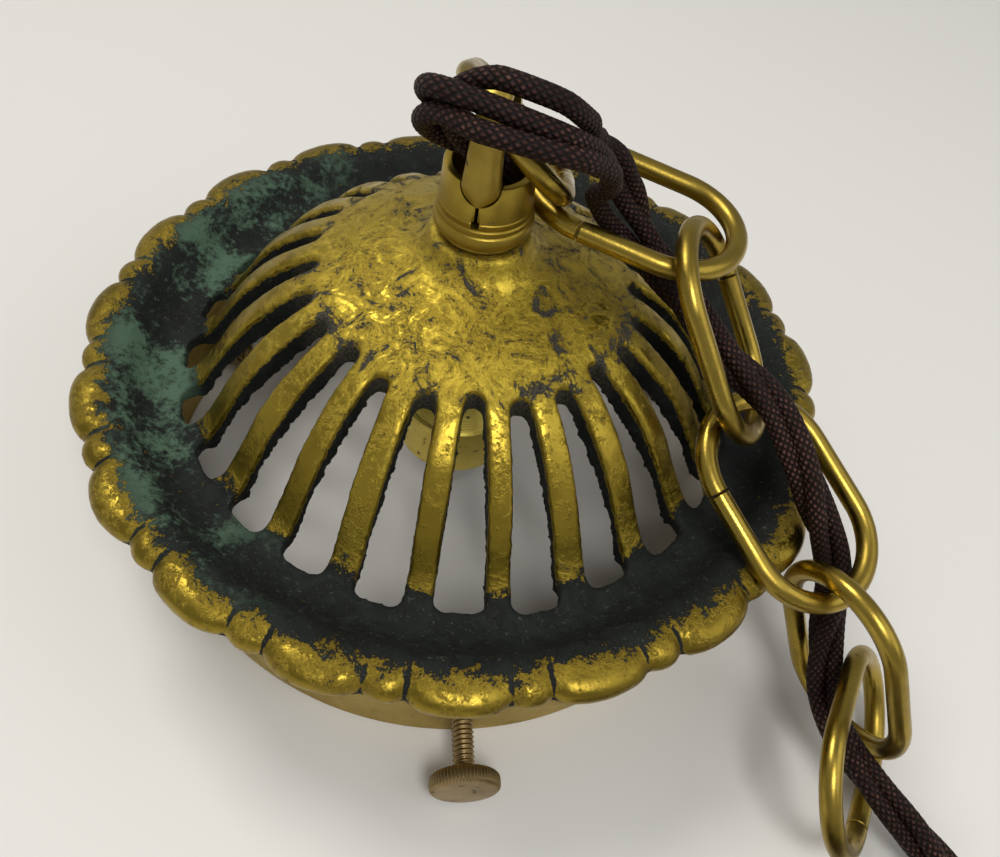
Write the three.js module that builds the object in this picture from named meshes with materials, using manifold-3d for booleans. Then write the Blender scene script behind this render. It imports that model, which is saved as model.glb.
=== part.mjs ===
import * as THREE from 'three';
import { mergeVertices } from 'three/addons/utils/BufferGeometryUtils.js';
import Module from 'manifold-3d';

// Hanging light fitting in millimetres, stood on its collar: a pierced brass crown on a gallery collar,
// a lampholder inside it, and a chain of open-butted links with a three-core flex threaded through them.

const wasm = await Module();
wasm.setup();

// Fits
const seatGap = 0.3;
const threadGap = 0.35;
const cutOverrun = 2;
const fullTurn = 2 * Math.PI;

// Gallery collar, standing on its foot
const collarRadius = 71.5;
const collarWall = 1.5;
const collarHeight = 35.5;
const collarFlangeReach = 6;

// Crown casting; its height is counted from the plane of the rim's notches
const crownNotchRadius = 83;
const crownRise = 39.5;
const lobeReach = 3.4;
const smallLobeReach = 1.9;
const lobePairs = 19;
const firstLobeAngle = -84.7;
const crownSeatShare = 0.195;
const crownFloorShare = 0.722;
const notchDrop = 0.9;
const bossRadius = 10.65;
const bossFlareReach = 0.75;
const bossFlareDrop = 3;

// Crown slots
const slotCount = 24;
const firstSlotAngle = -129.7;
const slotInnerRadius = 35.8;
const slotOuterRadius = 63.2;
const ribTopWidth = 4.7;
const ribFootWidth = 6.4;
const slotFootCorner = 1.6;

// Gallery screws, collar to crown
const galleryScrewCount = 3;
const firstGalleryScrewAngle = -21.7;
const galleryScrewRadius = 1.5;
const galleryScrewLength = 4.6;
const galleryHeadRadius = 2.8;
const galleryHeadHeight = 1.8;

// Thumb screws
const thumbScrewCount = 3;
const firstThumbScrewAngle = -81.7;
const thumbScrewHeight = 8.5;
const thumbScrewRadius = 2.38;
const thumbHeadRadius = 7.45;
const thumbHeadThickness = 3.8;
const thumbHeadBevel = 0.7;
const thumbShankShown = 12.8;
const thumbShankInside = 8;
const bushRadius = 4.5;
const bushLength = 5;

// Hanger nipple with its nut and washer
const nippleRadius = 6.35;
const nippleBore = 5;
const nippleIntoCup = 3.2;
const nippleIntoHolder = 8.5;
const washerRadius = 10;
const washerThickness = 1;
const nutAcrossFlats = 18;
const nutThickness = 3.5;

// Hook cup on the boss
const cupNeckRadius = 8.6;
const cupNeckHeight = 1.6;
const cupBeadRadius = 10.1;
const cupBeadHeight = 3.2;
const cupWaistRadius = 9.5;
const cupRimRadius = 9;
const cupHeight = 14.3;
const cupBore = 7.3;
const cupFloor = 3;
const notchDepth = 4.2;
const slitWidth = 0.7;
const slitLength = 3.6;
const pinHoleSize = 1.5;

// Strap loop, a band bent over in the YZ plane and turned a little with its cup
const strapWidth = 7.5;
const strapTopWidth = 5.4;
const strapThickness = 2.8;
const strapHalfSpan = 8.2;
const strapRise = 12.1;
const strapTurn = -8.4;
const strapArchHeight = 8.6;

// Chain links
const linkCount = 6;
const linkWire = 4.5;
const linkLength = 49.7;
const linkWidth = 33.7;
const linkButtGap = 0.35;
const linkSteps = 24;
const linkSides = 8;

// Lampholder
const capBossRadius = 8.8;
const capBossHeight = 8.4;
const capRadius = 15;
const capDomeHeight = 7;
const capSkirtHeight = 6.5;
const capWall = 1.4;
const threadRadius = 13.1;
const threadWall = 1;
const threadShown = 12.5;
const skirtRadius = 13.75;
const skirtWall = 1.15;
const skirtHeight = 13.5;
const jaySlotWidth = 2.6;
const jaySlotRise = 7.4;
const jaySlotRun = 5;
const jaySlotAngle = 200;
const insertLipHeight = 1.3;
const insertLipReach = 1.2;
const insertHeight = 11;
const plungerSpacing = 11;
const plungerRadius = 2;
const plungerCollarRadius = 2.6;
const plungerCollarHeight = 1.2;
const plungerShown = 3.2;
const plungerBoreGap = 0.3;
const plungerBoreFloor = 1.6;
const springWall = 0.5;
const terminalBlockWidth = 6.4;
const terminalBlockDepth = 5.6;
const terminalBlockHeight = 4;
const terminalScrewRadius = 1.2;
const terminalScrewLength = 3;
const earthTerminalReach = 7.5;
const grubScrewRadius = 1.5;

// Flex: three braided cores, loosely twisted
const cordRadius = 4;
const cordSides = 8;
const cordSteps = 64;
const leadRadius = 1.5;
const leadRing = 2.6;
const leadEndLength = 0.75;
const leadSides = 6;
const leadSteps = 10;

// Coil of the rest of the flex
const coilCentreX = 88;
const coilCentreY = -156;
const coilOuterLoop = 49;
const coilLoops = 3;
const coilLoopGap = 0.9;
const coilStepsPerLoop = 24;
const coilSides = 6;
const coilEndLength = 2 * cordRadius;
const coilClimbTurns = 0.5;
const coilGapSamples = 60;
const tieWidth = 4;
const tieThickness = 0.8;

// Heights worked out from the sizes above, counted from the foot of the collar
const crownSeat = collarHeight + seatGap;
const notchPlane = crownSeat + crownSeatShare * crownRise;
const bossTop = notchPlane + crownRise;
const crownFloor = notchPlane + crownFloorShare * crownRise;
const cupFoot = bossTop + seatGap;
const cupFloorTop = cupFoot + cupNeckHeight + cupFloor;
const nippleTop = cupFoot + nippleIntoCup;
const cupRim = cupFoot + cupNeckHeight + cupHeight;
const strapFoot = cupRim - notchDepth + seatGap;
const strapShoulder = strapFoot + strapRise;
const strapTop = strapShoulder + strapArchHeight;
const washerTop = crownFloor - seatGap;
const nutTop = washerTop - washerThickness - seatGap;
const capTop = nutTop - nutThickness - seatGap;
const nippleFoot = capTop - nippleIntoHolder;
const capShoulder = capTop - capBossHeight;
const capSkirtTop = capShoulder - capDomeHeight;
const capFoot = capSkirtTop - capSkirtHeight;
const skirtTop = capFoot - threadShown;
const skirtFoot = skirtTop - skirtHeight;
const insertFoot = skirtTop + insertLipHeight + threadGap + seatGap;
const insertTop = insertFoot + insertHeight;

// Shared materials' looks
const polishedBrass = { color: 0xb08a2e, roughness: 0.32, metalness: 1 };
const agedBrass = { color: 0x8a6d2a, roughness: 0.45, metalness: 1 };
const paleBrass = { color: 0xc6a552, roughness: 0.4, metalness: 1 };
const steel = { color: 0x9a9a96, roughness: 0.35, metalness: 1 };
const insulator = { color: 0x2b2724, roughness: 0.5, metalness: 0 };
const braid = { color: 0x33201c, roughness: 0.95, metalness: 0 };
const twine = { color: 0xb9a888, roughness: 0.9, metalness: 0 };

const model = new THREE.Group();
const fitting = new THREE.Group();
model.add(fitting);

// Turns a closed geometry into a solid that can be joined and cut
function solid(geometry) {
  const bare = geometry.clone();
  bare.deleteAttribute('normal');
  bare.deleteAttribute('uv');
  const merged = mergeVertices(bare);
  return new wasm.Manifold(new wasm.Mesh({
    numProp: 3,
    vertProperties: new Float32Array(merged.attributes.position.array),
    triVerts: new Uint32Array(merged.index.array),
  }));
}

// Turns a solid back into a geometry
function geometryOf(body) {
  const mesh = body.getMesh();
  const geometry = new THREE.BufferGeometry();
  geometry.setAttribute('position', new THREE.BufferAttribute(new Float32Array(mesh.vertProperties), 3));
  geometry.setIndex(new THREE.BufferAttribute(new Uint32Array(mesh.triVerts), 1));
  geometry.computeVertexNormals();
  return geometry;
}

// Adds a named piece to the fitting
function addPiece(name, geometry, look) {
  const piece = new THREE.Mesh(geometry, new THREE.MeshStandardMaterial(look));
  piece.name = name;
  fitting.add(piece);
  return piece;
}

// Revolves an outline of [radius, height] points about +Z, counted anticlockwise round the outline
function turned(outline, segments) {
  const points = outline.map(([radius, height]) => new THREE.Vector2(radius, height));
  return new THREE.LatheGeometry(points, segments).rotateX(Math.PI / 2);
}

// A plain upright tube or ring
function ring(outerRadius, innerRadius, foot, top, segments) {
  return turned([
    [innerRadius, foot],
    [outerRadius, foot],
    [outerRadius, top],
    [innerRadius, top],
    [innerRadius, foot],
  ], segments);
}

// A plain upright cylinder between two heights
function post(radius, foot, top, segments) {
  const height = top - foot;
  return new THREE.CylinderGeometry(radius, radius, height, segments)
    .rotateX(Math.PI / 2)
    .translate(0, 0, foot + height / 2);
}

// Lays an upright shape down along +X, its foot towards the axis, and swings it to a place round the axis
function radial(geometry, height, angle) {
  return geometry.clone()
    .rotateY(Math.PI / 2)
    .translate(0, 0, height)
    .rotateZ(THREE.MathUtils.degToRad(angle));
}

// Cuts a list of geometries out of a body
function cutAll(body, cutters) {
  return cutters.reduce((rest, cutter) => rest.subtract(solid(cutter)), body);
}

// A round section as a shape
function roundSection(radius, sides) {
  const section = new THREE.Shape();
  for (let side = 0; side < sides; side += 1) {
    const angle = (side / sides) * fullTurn;
    const x = radius * Math.cos(angle);
    const y = radius * Math.sin(angle);
    if (side === 0) {
      section.moveTo(x, y);
    } else {
      section.lineTo(x, y);
    }
  }
  section.closePath();
  return section;
}

// A round tube along a curve
function tubeAlong(curve, radius, sides, steps) {
  const settings = { steps, extrudePath: curve, curveSegments: 1 };
  return new THREE.ExtrudeGeometry(roundSection(radius, sides), settings);
}

// Places of a repeated piece round the axis, in degrees
function anglesRound(count, first) {
  return Array.from({ length: count }, (_, index) => first + (index * 360) / count);
}

const thumbScrewAngles = anglesRound(thumbScrewCount, firstThumbScrewAngle);
const galleryScrewAngles = anglesRound(galleryScrewCount, firstGalleryScrewAngle);

// Crown outline: shares of the notch radius, of the rise, of the lobes' reach and of the notches' drop,
// over the top from the boss to the rim's edge, then back under the rim and the dome
const crownTopShares = [
  [0.16, 0.91, 0, 0],
  [0.2, 0.84, 0, 0],
  [0.337, 0.747, 0, 0],
  [0.431, 0.663, 0, 0],
  [0.542, 0.494, 0, 0],
  [0.627, 0.316, 0, 0],
  [0.69, 0.135, 0, 0],
  [0.735, -0.03, 0, 0],
  [0.775, -0.1, 0, 0],
  [0.84, -0.08, 0, 0],
  [0.892, 0.03, 0, 0],
  [0.945, 0.076, 0.2, 0.4],
  [0.985, 0.05, 0.7, 1],
  [1, -0.02, 1, 1],
];
const crownUnderShares = [
  [0.985, -0.085, 0.8, 0.3],
  [0.93, -0.07, 0.1, 0],
];
const crownInnerShares = [
  [0.7, -0.165, 0, 0],
  [0.64, 0.08, 0, 0],
  [0.55, 0.29, 0, 0],
  [0.42, 0.51, 0, 0],
  [0.3, 0.64, 0, 0],
];

// The rim's rows, from this one of the first list on, have every column; the dome's have every second one
const crownRimFrom = 9;
const crownBossRows = 3;
const crownSeatRows = 3;

// Samples round one pair of lobes: share of the pair's angle and share of each lobe's reach
const lobeSampleShares = [
  [-0.361, 0, 0],
  [-0.18, 0.88, 0],
  [0, 1, 0],
  [0.18, 0.88, 0],
  [0.361, 0, 0],
  [0.5, 0, 1],
];

function crownSection(reach, drop) {
  const place = ([radiusShare, riseShare, reachShare, dropShare]) => [
    radiusShare * crownNotchRadius + reachShare * reach,
    notchPlane + riseShare * crownRise - dropShare * drop,
  ];
  const bore = nippleRadius + seatGap;
  const seatOuter = collarRadius + seatGap;
  const seatInner = collarRadius - collarWall - collarFlangeReach;
  return [
    [bore, bossTop],
    [bossRadius, bossTop],
    [bossRadius + bossFlareReach, bossTop - bossFlareDrop],
    ...crownTopShares.map(place),
    ...crownUnderShares.map(place),
    [seatOuter + collarWall, crownSeat + collarWall],
    [seatOuter, crownSeat],
    [seatInner, crownSeat],
    ...crownInnerShares.map(place),
    [washerRadius + collarWall, crownFloor],
    [bore, crownFloor],
  ];
}

function crownBlank() {
  const positions = [];
  const pairAngle = fullTurn / lobePairs;
  const start = THREE.MathUtils.degToRad(firstLobeAngle);
  let columns = 0;
  let rows = 0;
  for (let pair = 0; pair < lobePairs; pair += 1) {
    for (const [angleShare, bigShare, smallShare] of lobeSampleShares) {
      const angle = start + (pair + angleShare) * pairAngle;
      const reach = bigShare * lobeReach + smallShare * smallLobeReach;
      const drop = bigShare + smallShare > 0 ? 0 : notchDrop;
      const section = crownSection(reach, drop);
      rows = section.length;
      columns += 1;
      for (const [radius, height] of section) {
        positions.push(radius * Math.cos(angle), radius * Math.sin(angle), height);
      }
    }
  }
  const index = [];
  const fineFrom = crownRimFrom + crownBossRows;
  const rimRows = crownTopShares.length - crownRimFrom + crownUnderShares.length + crownSeatRows;
  const fineTo = fineFrom + rimRows - 1;
  const isFine = (row) => row >= fineFrom && row <= fineTo;
  const vertex = (column, row) => (column % columns) * rows + row;
  for (let column = 0; column < columns; column += 2) {
    for (let row = 0; row < rows; row += 1) {
      const after = (row + 1) % rows;
      const [a, b, c] = [column, column + 1, column + 2].map((place) => vertex(place, row));
      const [d, e, f] = [column, column + 1, column + 2].map((place) => vertex(place, after));
      if (isFine(row) && isFine(after)) {
        index.push(a, d, b, b, d, e, b, e, c, c, e, f);
      } else if (isFine(after)) {
        index.push(a, d, e, a, e, c, c, e, f);
      } else if (isFine(row)) {
        index.push(a, d, b, b, d, f, b, f, c);
      } else {
        index.push(a, d, c, c, d, f);
      }
    }
  }
  const geometry = new THREE.BufferGeometry();
  geometry.setAttribute('position', new THREE.Float32BufferAttribute(positions, 3));
  geometry.setIndex(index);
  return geometry;
}

// One slot as an upright cutter, round at its inner end and square with small corners at its foot
function slotCutter(angle) {
  const share = fullTurn / slotCount;
  const headHalf = (slotInnerRadius * share - ribTopWidth) / 2;
  const footHalf = (slotOuterRadius * share - ribFootWidth) / 2;
  const headCentre = slotInnerRadius + headHalf;
  const outline = new THREE.Shape();
  outline.moveTo(headCentre, -headHalf);
  outline.lineTo(slotOuterRadius - slotFootCorner, -footHalf);
  outline.lineTo(slotOuterRadius, slotFootCorner - footHalf);
  outline.lineTo(slotOuterRadius, footHalf - slotFootCorner);
  outline.lineTo(slotOuterRadius - slotFootCorner, footHalf);
  outline.lineTo(headCentre, headHalf);
  outline.absarc(headCentre, 0, headHalf, Math.PI / 2, 1.5 * Math.PI, false);
  const foot = collarHeight - cutOverrun;
  return new THREE.ExtrudeGeometry(outline, { depth: bossTop - foot, bevelEnabled: false, curveSegments: 3 })
    .translate(0, 0, foot)
    .rotateZ(THREE.MathUtils.degToRad(angle));
}

const galleryScrewPlace = collarRadius - collarWall - collarFlangeReach / 2;
const galleryHole = galleryScrewRadius + seatGap;

// A gallery screw hole, from below the collar's flange up into the crown
function galleryScrewHole(angle, foot, top) {
  return post(galleryHole, foot, top, 12)
    .translate(galleryScrewPlace, 0, 0)
    .rotateZ(THREE.MathUtils.degToRad(angle));
}

function makeCrown() {
  const screwEnd = collarHeight - collarWall + galleryScrewLength + seatGap;
  const holes = galleryScrewAngles.map((angle) => galleryScrewHole(angle, collarHeight, screwEnd));
  const slots = anglesRound(slotCount, firstSlotAngle).map(slotCutter);
  return geometryOf(cutAll(solid(crownBlank()), [...slots, ...holes]));
}
addPiece('crown_casting', makeCrown(), polishedBrass);

function makeCollar() {
  const inner = collarRadius - collarWall;
  const blank = turned([
    [inner, 0],
    [collarRadius, 0],
    [collarRadius, collarHeight],
    [inner - collarFlangeReach, collarHeight],
    [inner - collarFlangeReach, collarHeight - collarWall],
    [inner, collarHeight - collarWall],
    [inner, 0],
  ], 60);
  const screwHole = post(thumbScrewRadius + threadGap, inner - cutOverrun, collarRadius + cutOverrun, 16);
  const holes = [
    ...thumbScrewAngles.map((angle) => radial(screwHole, thumbScrewHeight, angle)),
    ...galleryScrewAngles.map((angle) => galleryScrewHole(
      angle,
      collarHeight - collarWall - cutOverrun,
      collarHeight + cutOverrun,
    )),
  ];
  return geometryOf(cutAll(solid(blank), holes));
}
addPiece('gallery_collar', makeCollar(), agedBrass);

// Gallery screws: a flat head under the flange and a shank up into the crown
function galleryScrew(angle) {
  const headTop = collarHeight - collarWall - seatGap;
  return turned([
    [0, headTop - galleryHeadHeight],
    [galleryHeadRadius, headTop - galleryHeadHeight],
    [galleryHeadRadius, headTop],
    [galleryScrewRadius, headTop],
    [galleryScrewRadius, headTop + galleryScrewLength],
    [0, headTop + galleryScrewLength],
  ], 16)
    .translate(galleryScrewPlace, 0, 0)
    .rotateZ(THREE.MathUtils.degToRad(angle));
}
galleryScrewAngles.forEach((angle, index) => {
  addPiece(`gallery_screw_${index + 1}`, galleryScrew(angle), steel);
});

// Bushes inside the collar for the thumb screws, ending just short of the collar's curved wall
const bushSag = bushRadius ** 2 / (2 * (collarRadius - collarWall));
const bushEnd = collarRadius - collarWall - bushSag - seatGap;
const bush = ring(bushRadius, thumbScrewRadius + threadGap, bushEnd - bushLength, bushEnd, 14);
thumbScrewAngles.forEach((angle, index) => {
  addPiece(`screw_bush_${index + 1}`, radial(bush, thumbScrewHeight, angle), agedBrass);
});

// Thumb screws: a shank through collar and bush, and a round head with a bevelled face
const thumbHeadSeat = collarRadius + thumbShankShown;
const thumbScrewTip = collarRadius - collarWall - thumbShankInside;
const thumbHeadFace = thumbHeadSeat + thumbHeadThickness;
const thumbScrew = turned([
  [0, thumbScrewTip],
  [thumbScrewRadius, thumbScrewTip],
  [thumbScrewRadius, thumbHeadSeat],
  [thumbHeadRadius - thumbHeadBevel, thumbHeadSeat],
  [thumbHeadRadius, thumbHeadSeat + thumbHeadBevel],
  [thumbHeadRadius, thumbHeadFace - thumbHeadBevel],
  [thumbHeadRadius - thumbHeadBevel, thumbHeadFace],
  [0, thumbHeadFace],
], 20);
thumbScrewAngles.forEach((angle, index) => {
  addPiece(`thumb_screw_${index + 1}`, radial(thumbScrew, thumbScrewHeight, angle), agedBrass);
});

// Hanger nipple, washer and lock nut
addPiece('hanger_nipple', ring(nippleRadius, nippleBore, nippleFoot, nippleTop, 20), paleBrass);
addPiece(
  'clamp_washer',
  ring(washerRadius, nippleRadius + seatGap, washerTop - washerThickness, washerTop, 20),
  paleBrass,
);

function makeLockNut() {
  const acrossCorners = nutAcrossFlats / Math.cos(Math.PI / 6) / 2;
  const nut = solid(post(acrossCorners, nutTop - nutThickness, nutTop, 6));
  const bore = post(nippleRadius + threadGap, nutTop - nutThickness - cutOverrun, nutTop + cutOverrun, 24);
  return geometryOf(cutAll(nut, [bore]));
}
addPiece('lock_nut', makeLockNut(), paleBrass);

// A block along Y whose section is a U of the given half width, foot, corner and top
function uBlock(half, foot, corner, top) {
  const outline = new THREE.Shape();
  outline.moveTo(half, top);
  outline.lineTo(-half, top);
  outline.lineTo(-half, foot + corner);
  outline.absarc(corner - half, foot + corner, corner, Math.PI, 1.5 * Math.PI, false);
  outline.absarc(half - corner, foot + corner, corner, 1.5 * Math.PI, fullTurn, false);
  const through = 2 * (cupBeadRadius + cutOverrun);
  return new THREE.ExtrudeGeometry(outline, { depth: through, bevelEnabled: false, curveSegments: 4 })
    .rotateX(Math.PI / 2)
    .translate(0, through / 2, 0);
}

// Hook cup: a neck on the boss, a bead, a plain wall with two U notches, and a slit above a square hole
function makeHookCup() {
  const beadFoot = cupFoot + cupNeckHeight;
  const beadTop = beadFoot + cupBeadHeight;
  const blank = turned([
    [nippleRadius + threadGap, cupFoot],
    [cupNeckRadius, cupFoot],
    [cupNeckRadius, beadFoot],
    [cupBeadRadius - threadGap, beadFoot],
    [cupBeadRadius, beadFoot + threadGap],
    [cupBeadRadius, beadTop - threadGap],
    [cupWaistRadius, beadTop],
    [cupWaistRadius, beadTop + cupBeadHeight],
    [cupRimRadius, cupRim],
    [cupBore, cupRim],
    [cupBore, cupFloorTop],
    [nippleRadius + threadGap, cupFloorTop],
    [nippleRadius + threadGap, cupFoot],
  ], 32);
  const notchFoot = cupRim - notchDepth;
  const notches = uBlock(strapWidth / 2 + seatGap, notchFoot, notchDepth / 2 + seatGap, cupRim + cutOverrun);
  const slitDepth = cupBeadRadius + cutOverrun;
  const slit = new THREE.BoxGeometry(slitWidth, slitDepth, slitLength + cutOverrun)
    .translate(0, -slitDepth / 2, notchFoot - (slitLength - cutOverrun) / 2);
  const pinHole = new THREE.BoxGeometry(pinHoleSize, slitDepth, pinHoleSize)
    .translate(0, -slitDepth / 2, notchFoot - slitLength - pinHoleSize / 2 + slitWidth / 2);
  const cup = geometryOf(cutAll(solid(blank), [notches, slit, pinHole]));
  return cup.rotateZ(THREE.MathUtils.degToRad(strapTurn));
}
addPiece('hook_cup', makeHookCup(), polishedBrass);

// Strap loop: two legs standing in the cup's notches under a round arch, narrower at the top
function makeStrap() {
  const outerSpan = strapHalfSpan + strapThickness / 2;
  const innerSpan = strapHalfSpan - strapThickness / 2;
  const outerArch = strapArchHeight + strapThickness / 2;
  const innerArch = strapArchHeight - strapThickness / 2;
  const outline = new THREE.Shape();
  outline.moveTo(-outerSpan, strapFoot);
  outline.lineTo(-innerSpan, strapFoot);
  outline.lineTo(-innerSpan, strapShoulder);
  outline.absellipse(0, strapShoulder, innerSpan, innerArch, Math.PI, 0, true);
  outline.lineTo(innerSpan, strapFoot);
  outline.lineTo(outerSpan, strapFoot);
  outline.lineTo(outerSpan, strapShoulder);
  outline.absellipse(0, strapShoulder, outerSpan, outerArch, 0, Math.PI, false);
  const settings = { depth: strapWidth, bevelEnabled: false, curveSegments: 12 };
  const band = new THREE.ExtrudeGeometry(outline, settings)
    .translate(0, 0, -strapWidth / 2)
    .rotateX(Math.PI / 2)
    .rotateZ(Math.PI / 2);
  const places = band.attributes.position;
  const rise = strapTop + strapThickness / 2 - strapFoot;
  for (let corner = 0; corner < places.count; corner += 1) {
    const share = (places.getZ(corner) - strapFoot) / rise;
    const narrowed = 1 - share * (1 - strapTopWidth / strapWidth);
    places.setX(corner, places.getX(corner) * narrowed);
  }
  const feet = uBlock(strapWidth / 2, strapFoot, notchDepth / 2, strapTop + cutOverrun);
  return geometryOf(solid(band).intersect(solid(feet))).rotateZ(THREE.MathUtils.degToRad(strapTurn));
}
addPiece('strap_loop', makeStrap(), polishedBrass);

// Chain links: an oval of round wire whose ends butt on a straight side
class LinkPath extends THREE.Curve {
  getPoint(t) {
    const bend = (linkWidth - linkWire) / 2;
    const straight = linkLength - linkWidth;
    const length = 2 * straight + fullTurn * bend;
    const walked = linkButtGap / 2 + t * (length - linkButtGap);
    const half = straight / 2;
    const bendLength = Math.PI * bend;
    if (walked < straight) {
      return new THREE.Vector3(walked - half, -bend, 0);
    }
    if (walked < straight + bendLength) {
      const turn = (walked - straight) / bend - Math.PI / 2;
      return new THREE.Vector3(half + bend * Math.cos(turn), bend * Math.sin(turn), 0);
    }
    if (walked < 2 * straight + bendLength) {
      return new THREE.Vector3(half - (walked - straight - bendLength), bend, 0);
    }
    const turn = (walked - 2 * straight - bendLength) / bend + Math.PI / 2;
    return new THREE.Vector3(bend * Math.cos(turn) - half, bend * Math.sin(turn), 0);
  }
}
const linkWireAlong = tubeAlong(new LinkPath(), linkWire / 2, linkSides, linkSteps);

// Where each link lies from the strap's top, in shares of a link's length, then its long and wide ways
const linkPlaceShares = [
  [0.0942, 0.301, -0.3883],
  [0.6258, 0.2322, -0.6207],
  [1.0626, -0.1598, -0.8889],
  [1.4209, -0.6833, -1.2801],
  [1.7797, -1.1511, -1.7364],
  [1.8926, -1.4264, -1.9984],
];
const linkLongShares = [
  [-0.054, -0.878, 0.475],
  [0.954, -0.286, -0.09],
  [0.48, -0.47, -0.74],
  [0.59, -0.71, -0.37],
  [0.39, -0.31, -0.87],
  [0.42, 0.88, -0.23],
];
const linkWideShares = [
  [-0.742, 0.354, 0.57],
  [0.285, 0.958, -0.025],
  [-0.36, -0.88, 0.31],
  [0.77, 0.64, -0.01],
  [0.45, -0.76, 0.47],
  [-0.41, 0.41, 0.82],
];

for (let link = 0; link < linkCount; link += 1) {
  const long = new THREE.Vector3(...linkLongShares[link]).normalize();
  const wide = new THREE.Vector3(...linkWideShares[link]);
  wide.addScaledVector(long, -wide.dot(long)).normalize();
  const across = new THREE.Vector3().crossVectors(long, wide);
  const place = new THREE.Vector3(...linkPlaceShares[link]).multiplyScalar(linkLength);
  place.z += strapTop;
  const stance = new THREE.Matrix4().makeBasis(long, wide, across).setPosition(place);
  addPiece(`chain_link_${link + 1}`, linkWireAlong.clone().applyMatrix4(stance), agedBrass);
}

// Lampholder cap: an entry boss on the nipple, a dome and a skirt that screws over the body's thread
function makeHolderCap() {
  const bore = nippleRadius + threadGap;
  const blank = turned([
    [bore, capTop],
    [bore, capShoulder - capWall],
    [bore + capWall, capShoulder - capWall],
    [capRadius - 2 * capWall, capSkirtTop + capWall],
    [capRadius - capWall, capSkirtTop - capWall],
    [capRadius - capWall, capFoot],
    [capRadius, capFoot],
    [capRadius, capSkirtTop],
    [capRadius - capWall, capSkirtTop + 2 * capWall],
    [capBossRadius, capShoulder],
    [capBossRadius, capTop],
    [bore, capTop],
  ], 28);
  const grubHole = post(grubScrewRadius + seatGap, nippleRadius, capBossRadius + cutOverrun, 12);
  return geometryOf(cutAll(solid(blank), [radial(grubHole, capTop - capBossHeight / 2, 90)]));
}
addPiece('holder_cap', makeHolderCap(), paleBrass);

const grubScrew = post(grubScrewRadius, nippleRadius + seatGap, capBossRadius - seatGap, 12);
addPiece('entry_grub_screw', radial(grubScrew, capTop - capBossHeight / 2, 90), steel);

// Lampholder body: a threaded tube over a slightly wider skirt with two bayonet slots
const insertRadius = threadRadius - threadWall - seatGap;
function jaySlot(angle) {
  const depth = 2 * (skirtWall + cutOverrun);
  const rise = new THREE.BoxGeometry(depth, jaySlotWidth, jaySlotRise + cutOverrun)
    .translate(skirtRadius, 0, skirtFoot + (jaySlotRise - cutOverrun) / 2);
  const run = new THREE.BoxGeometry(depth, jaySlotRun, jaySlotWidth)
    .translate(skirtRadius, (jaySlotRun - jaySlotWidth) / 2, skirtFoot + jaySlotRise - jaySlotWidth / 2);
  const hook = new THREE.BoxGeometry(depth, jaySlotWidth, jaySlotWidth)
    .translate(skirtRadius, jaySlotRun - jaySlotWidth, skirtFoot + jaySlotRise - jaySlotWidth);
  return [rise, run, hook].map((box) => box.rotateZ(THREE.MathUtils.degToRad(angle)));
}

function makeHolderBody() {
  const lipInner = threadRadius - threadWall - insertLipReach;
  const lipTop = skirtTop + insertLipHeight + threadGap;
  const blank = turned([
    [skirtRadius - skirtWall, skirtFoot],
    [skirtRadius, skirtFoot],
    [skirtRadius, skirtTop],
    [threadRadius, skirtTop + threadGap],
    [threadRadius, capSkirtTop - 2 * capWall],
    [threadRadius - threadWall, capSkirtTop - 2 * capWall],
    [threadRadius - threadWall, lipTop],
    [lipInner, lipTop],
    [lipInner, skirtTop + threadGap],
    [skirtRadius - skirtWall, skirtTop - skirtWall],
    [skirtRadius - skirtWall, skirtFoot],
  ], 32);
  return geometryOf(cutAll(solid(blank), [...jaySlot(jaySlotAngle), ...jaySlot(jaySlotAngle + 180)]));
}
addPiece('holder_body', makeHolderBody(), paleBrass);

// Insert with two plungers on their springs under brass terminal blocks
const boreRadius = plungerCollarRadius + plungerBoreGap;
const boreFoot = insertFoot + plungerBoreFloor;
const plungerFoot = insertFoot - plungerShown;
const plungerCollarFoot = boreFoot + seatGap;
const plungerTop = plungerCollarFoot + plungerCollarHeight;
const blockFoot = insertTop + seatGap;

function makeInsert() {
  const blank = solid(post(insertRadius, insertFoot, insertTop, 24));
  const cutters = [-1, 1].flatMap((side) => [
    post(boreRadius, boreFoot, insertTop + cutOverrun, 16).translate(0, side * plungerSpacing / 2, 0),
    post(plungerRadius + plungerBoreGap, insertFoot - cutOverrun, boreFoot + cutOverrun, 16)
      .translate(0, side * plungerSpacing / 2, 0),
  ]);
  return geometryOf(cutAll(blank, cutters));
}
addPiece('holder_insert', makeInsert(), insulator);

function plunger() {
  return turned([
    [0, plungerFoot],
    [plungerRadius - threadGap, plungerFoot],
    [plungerRadius, plungerFoot + threadGap],
    [plungerRadius, plungerCollarFoot],
    [plungerCollarRadius, plungerCollarFoot],
    [plungerCollarRadius, plungerTop],
    [0, plungerTop],
  ], 16);
}

function terminalBlock() {
  const block = solid(new THREE.BoxGeometry(terminalBlockWidth, terminalBlockDepth, terminalBlockHeight)
    .translate(0, 0, blockFoot + terminalBlockHeight / 2));
  const screwHole = post(terminalScrewRadius + threadGap, -terminalBlockWidth, 0, 12)
    .rotateY(Math.PI / 2)
    .translate(0, 0, blockFoot + terminalBlockHeight / 2);
  return geometryOf(cutAll(block, [screwHole]));
}

const springRadius = plungerCollarRadius;
const plungerPlaces = [-plungerSpacing / 2, plungerSpacing / 2];
plungerPlaces.forEach((place, index) => {
  const number = index + 1;
  addPiece(`contact_plunger_${number}`, plunger().translate(0, place, 0), paleBrass);
  const spring = ring(springRadius, springRadius - springWall, plungerTop + seatGap, insertTop, 16);
  addPiece(`plunger_spring_${number}`, spring.translate(0, place, 0), steel);
});

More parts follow.
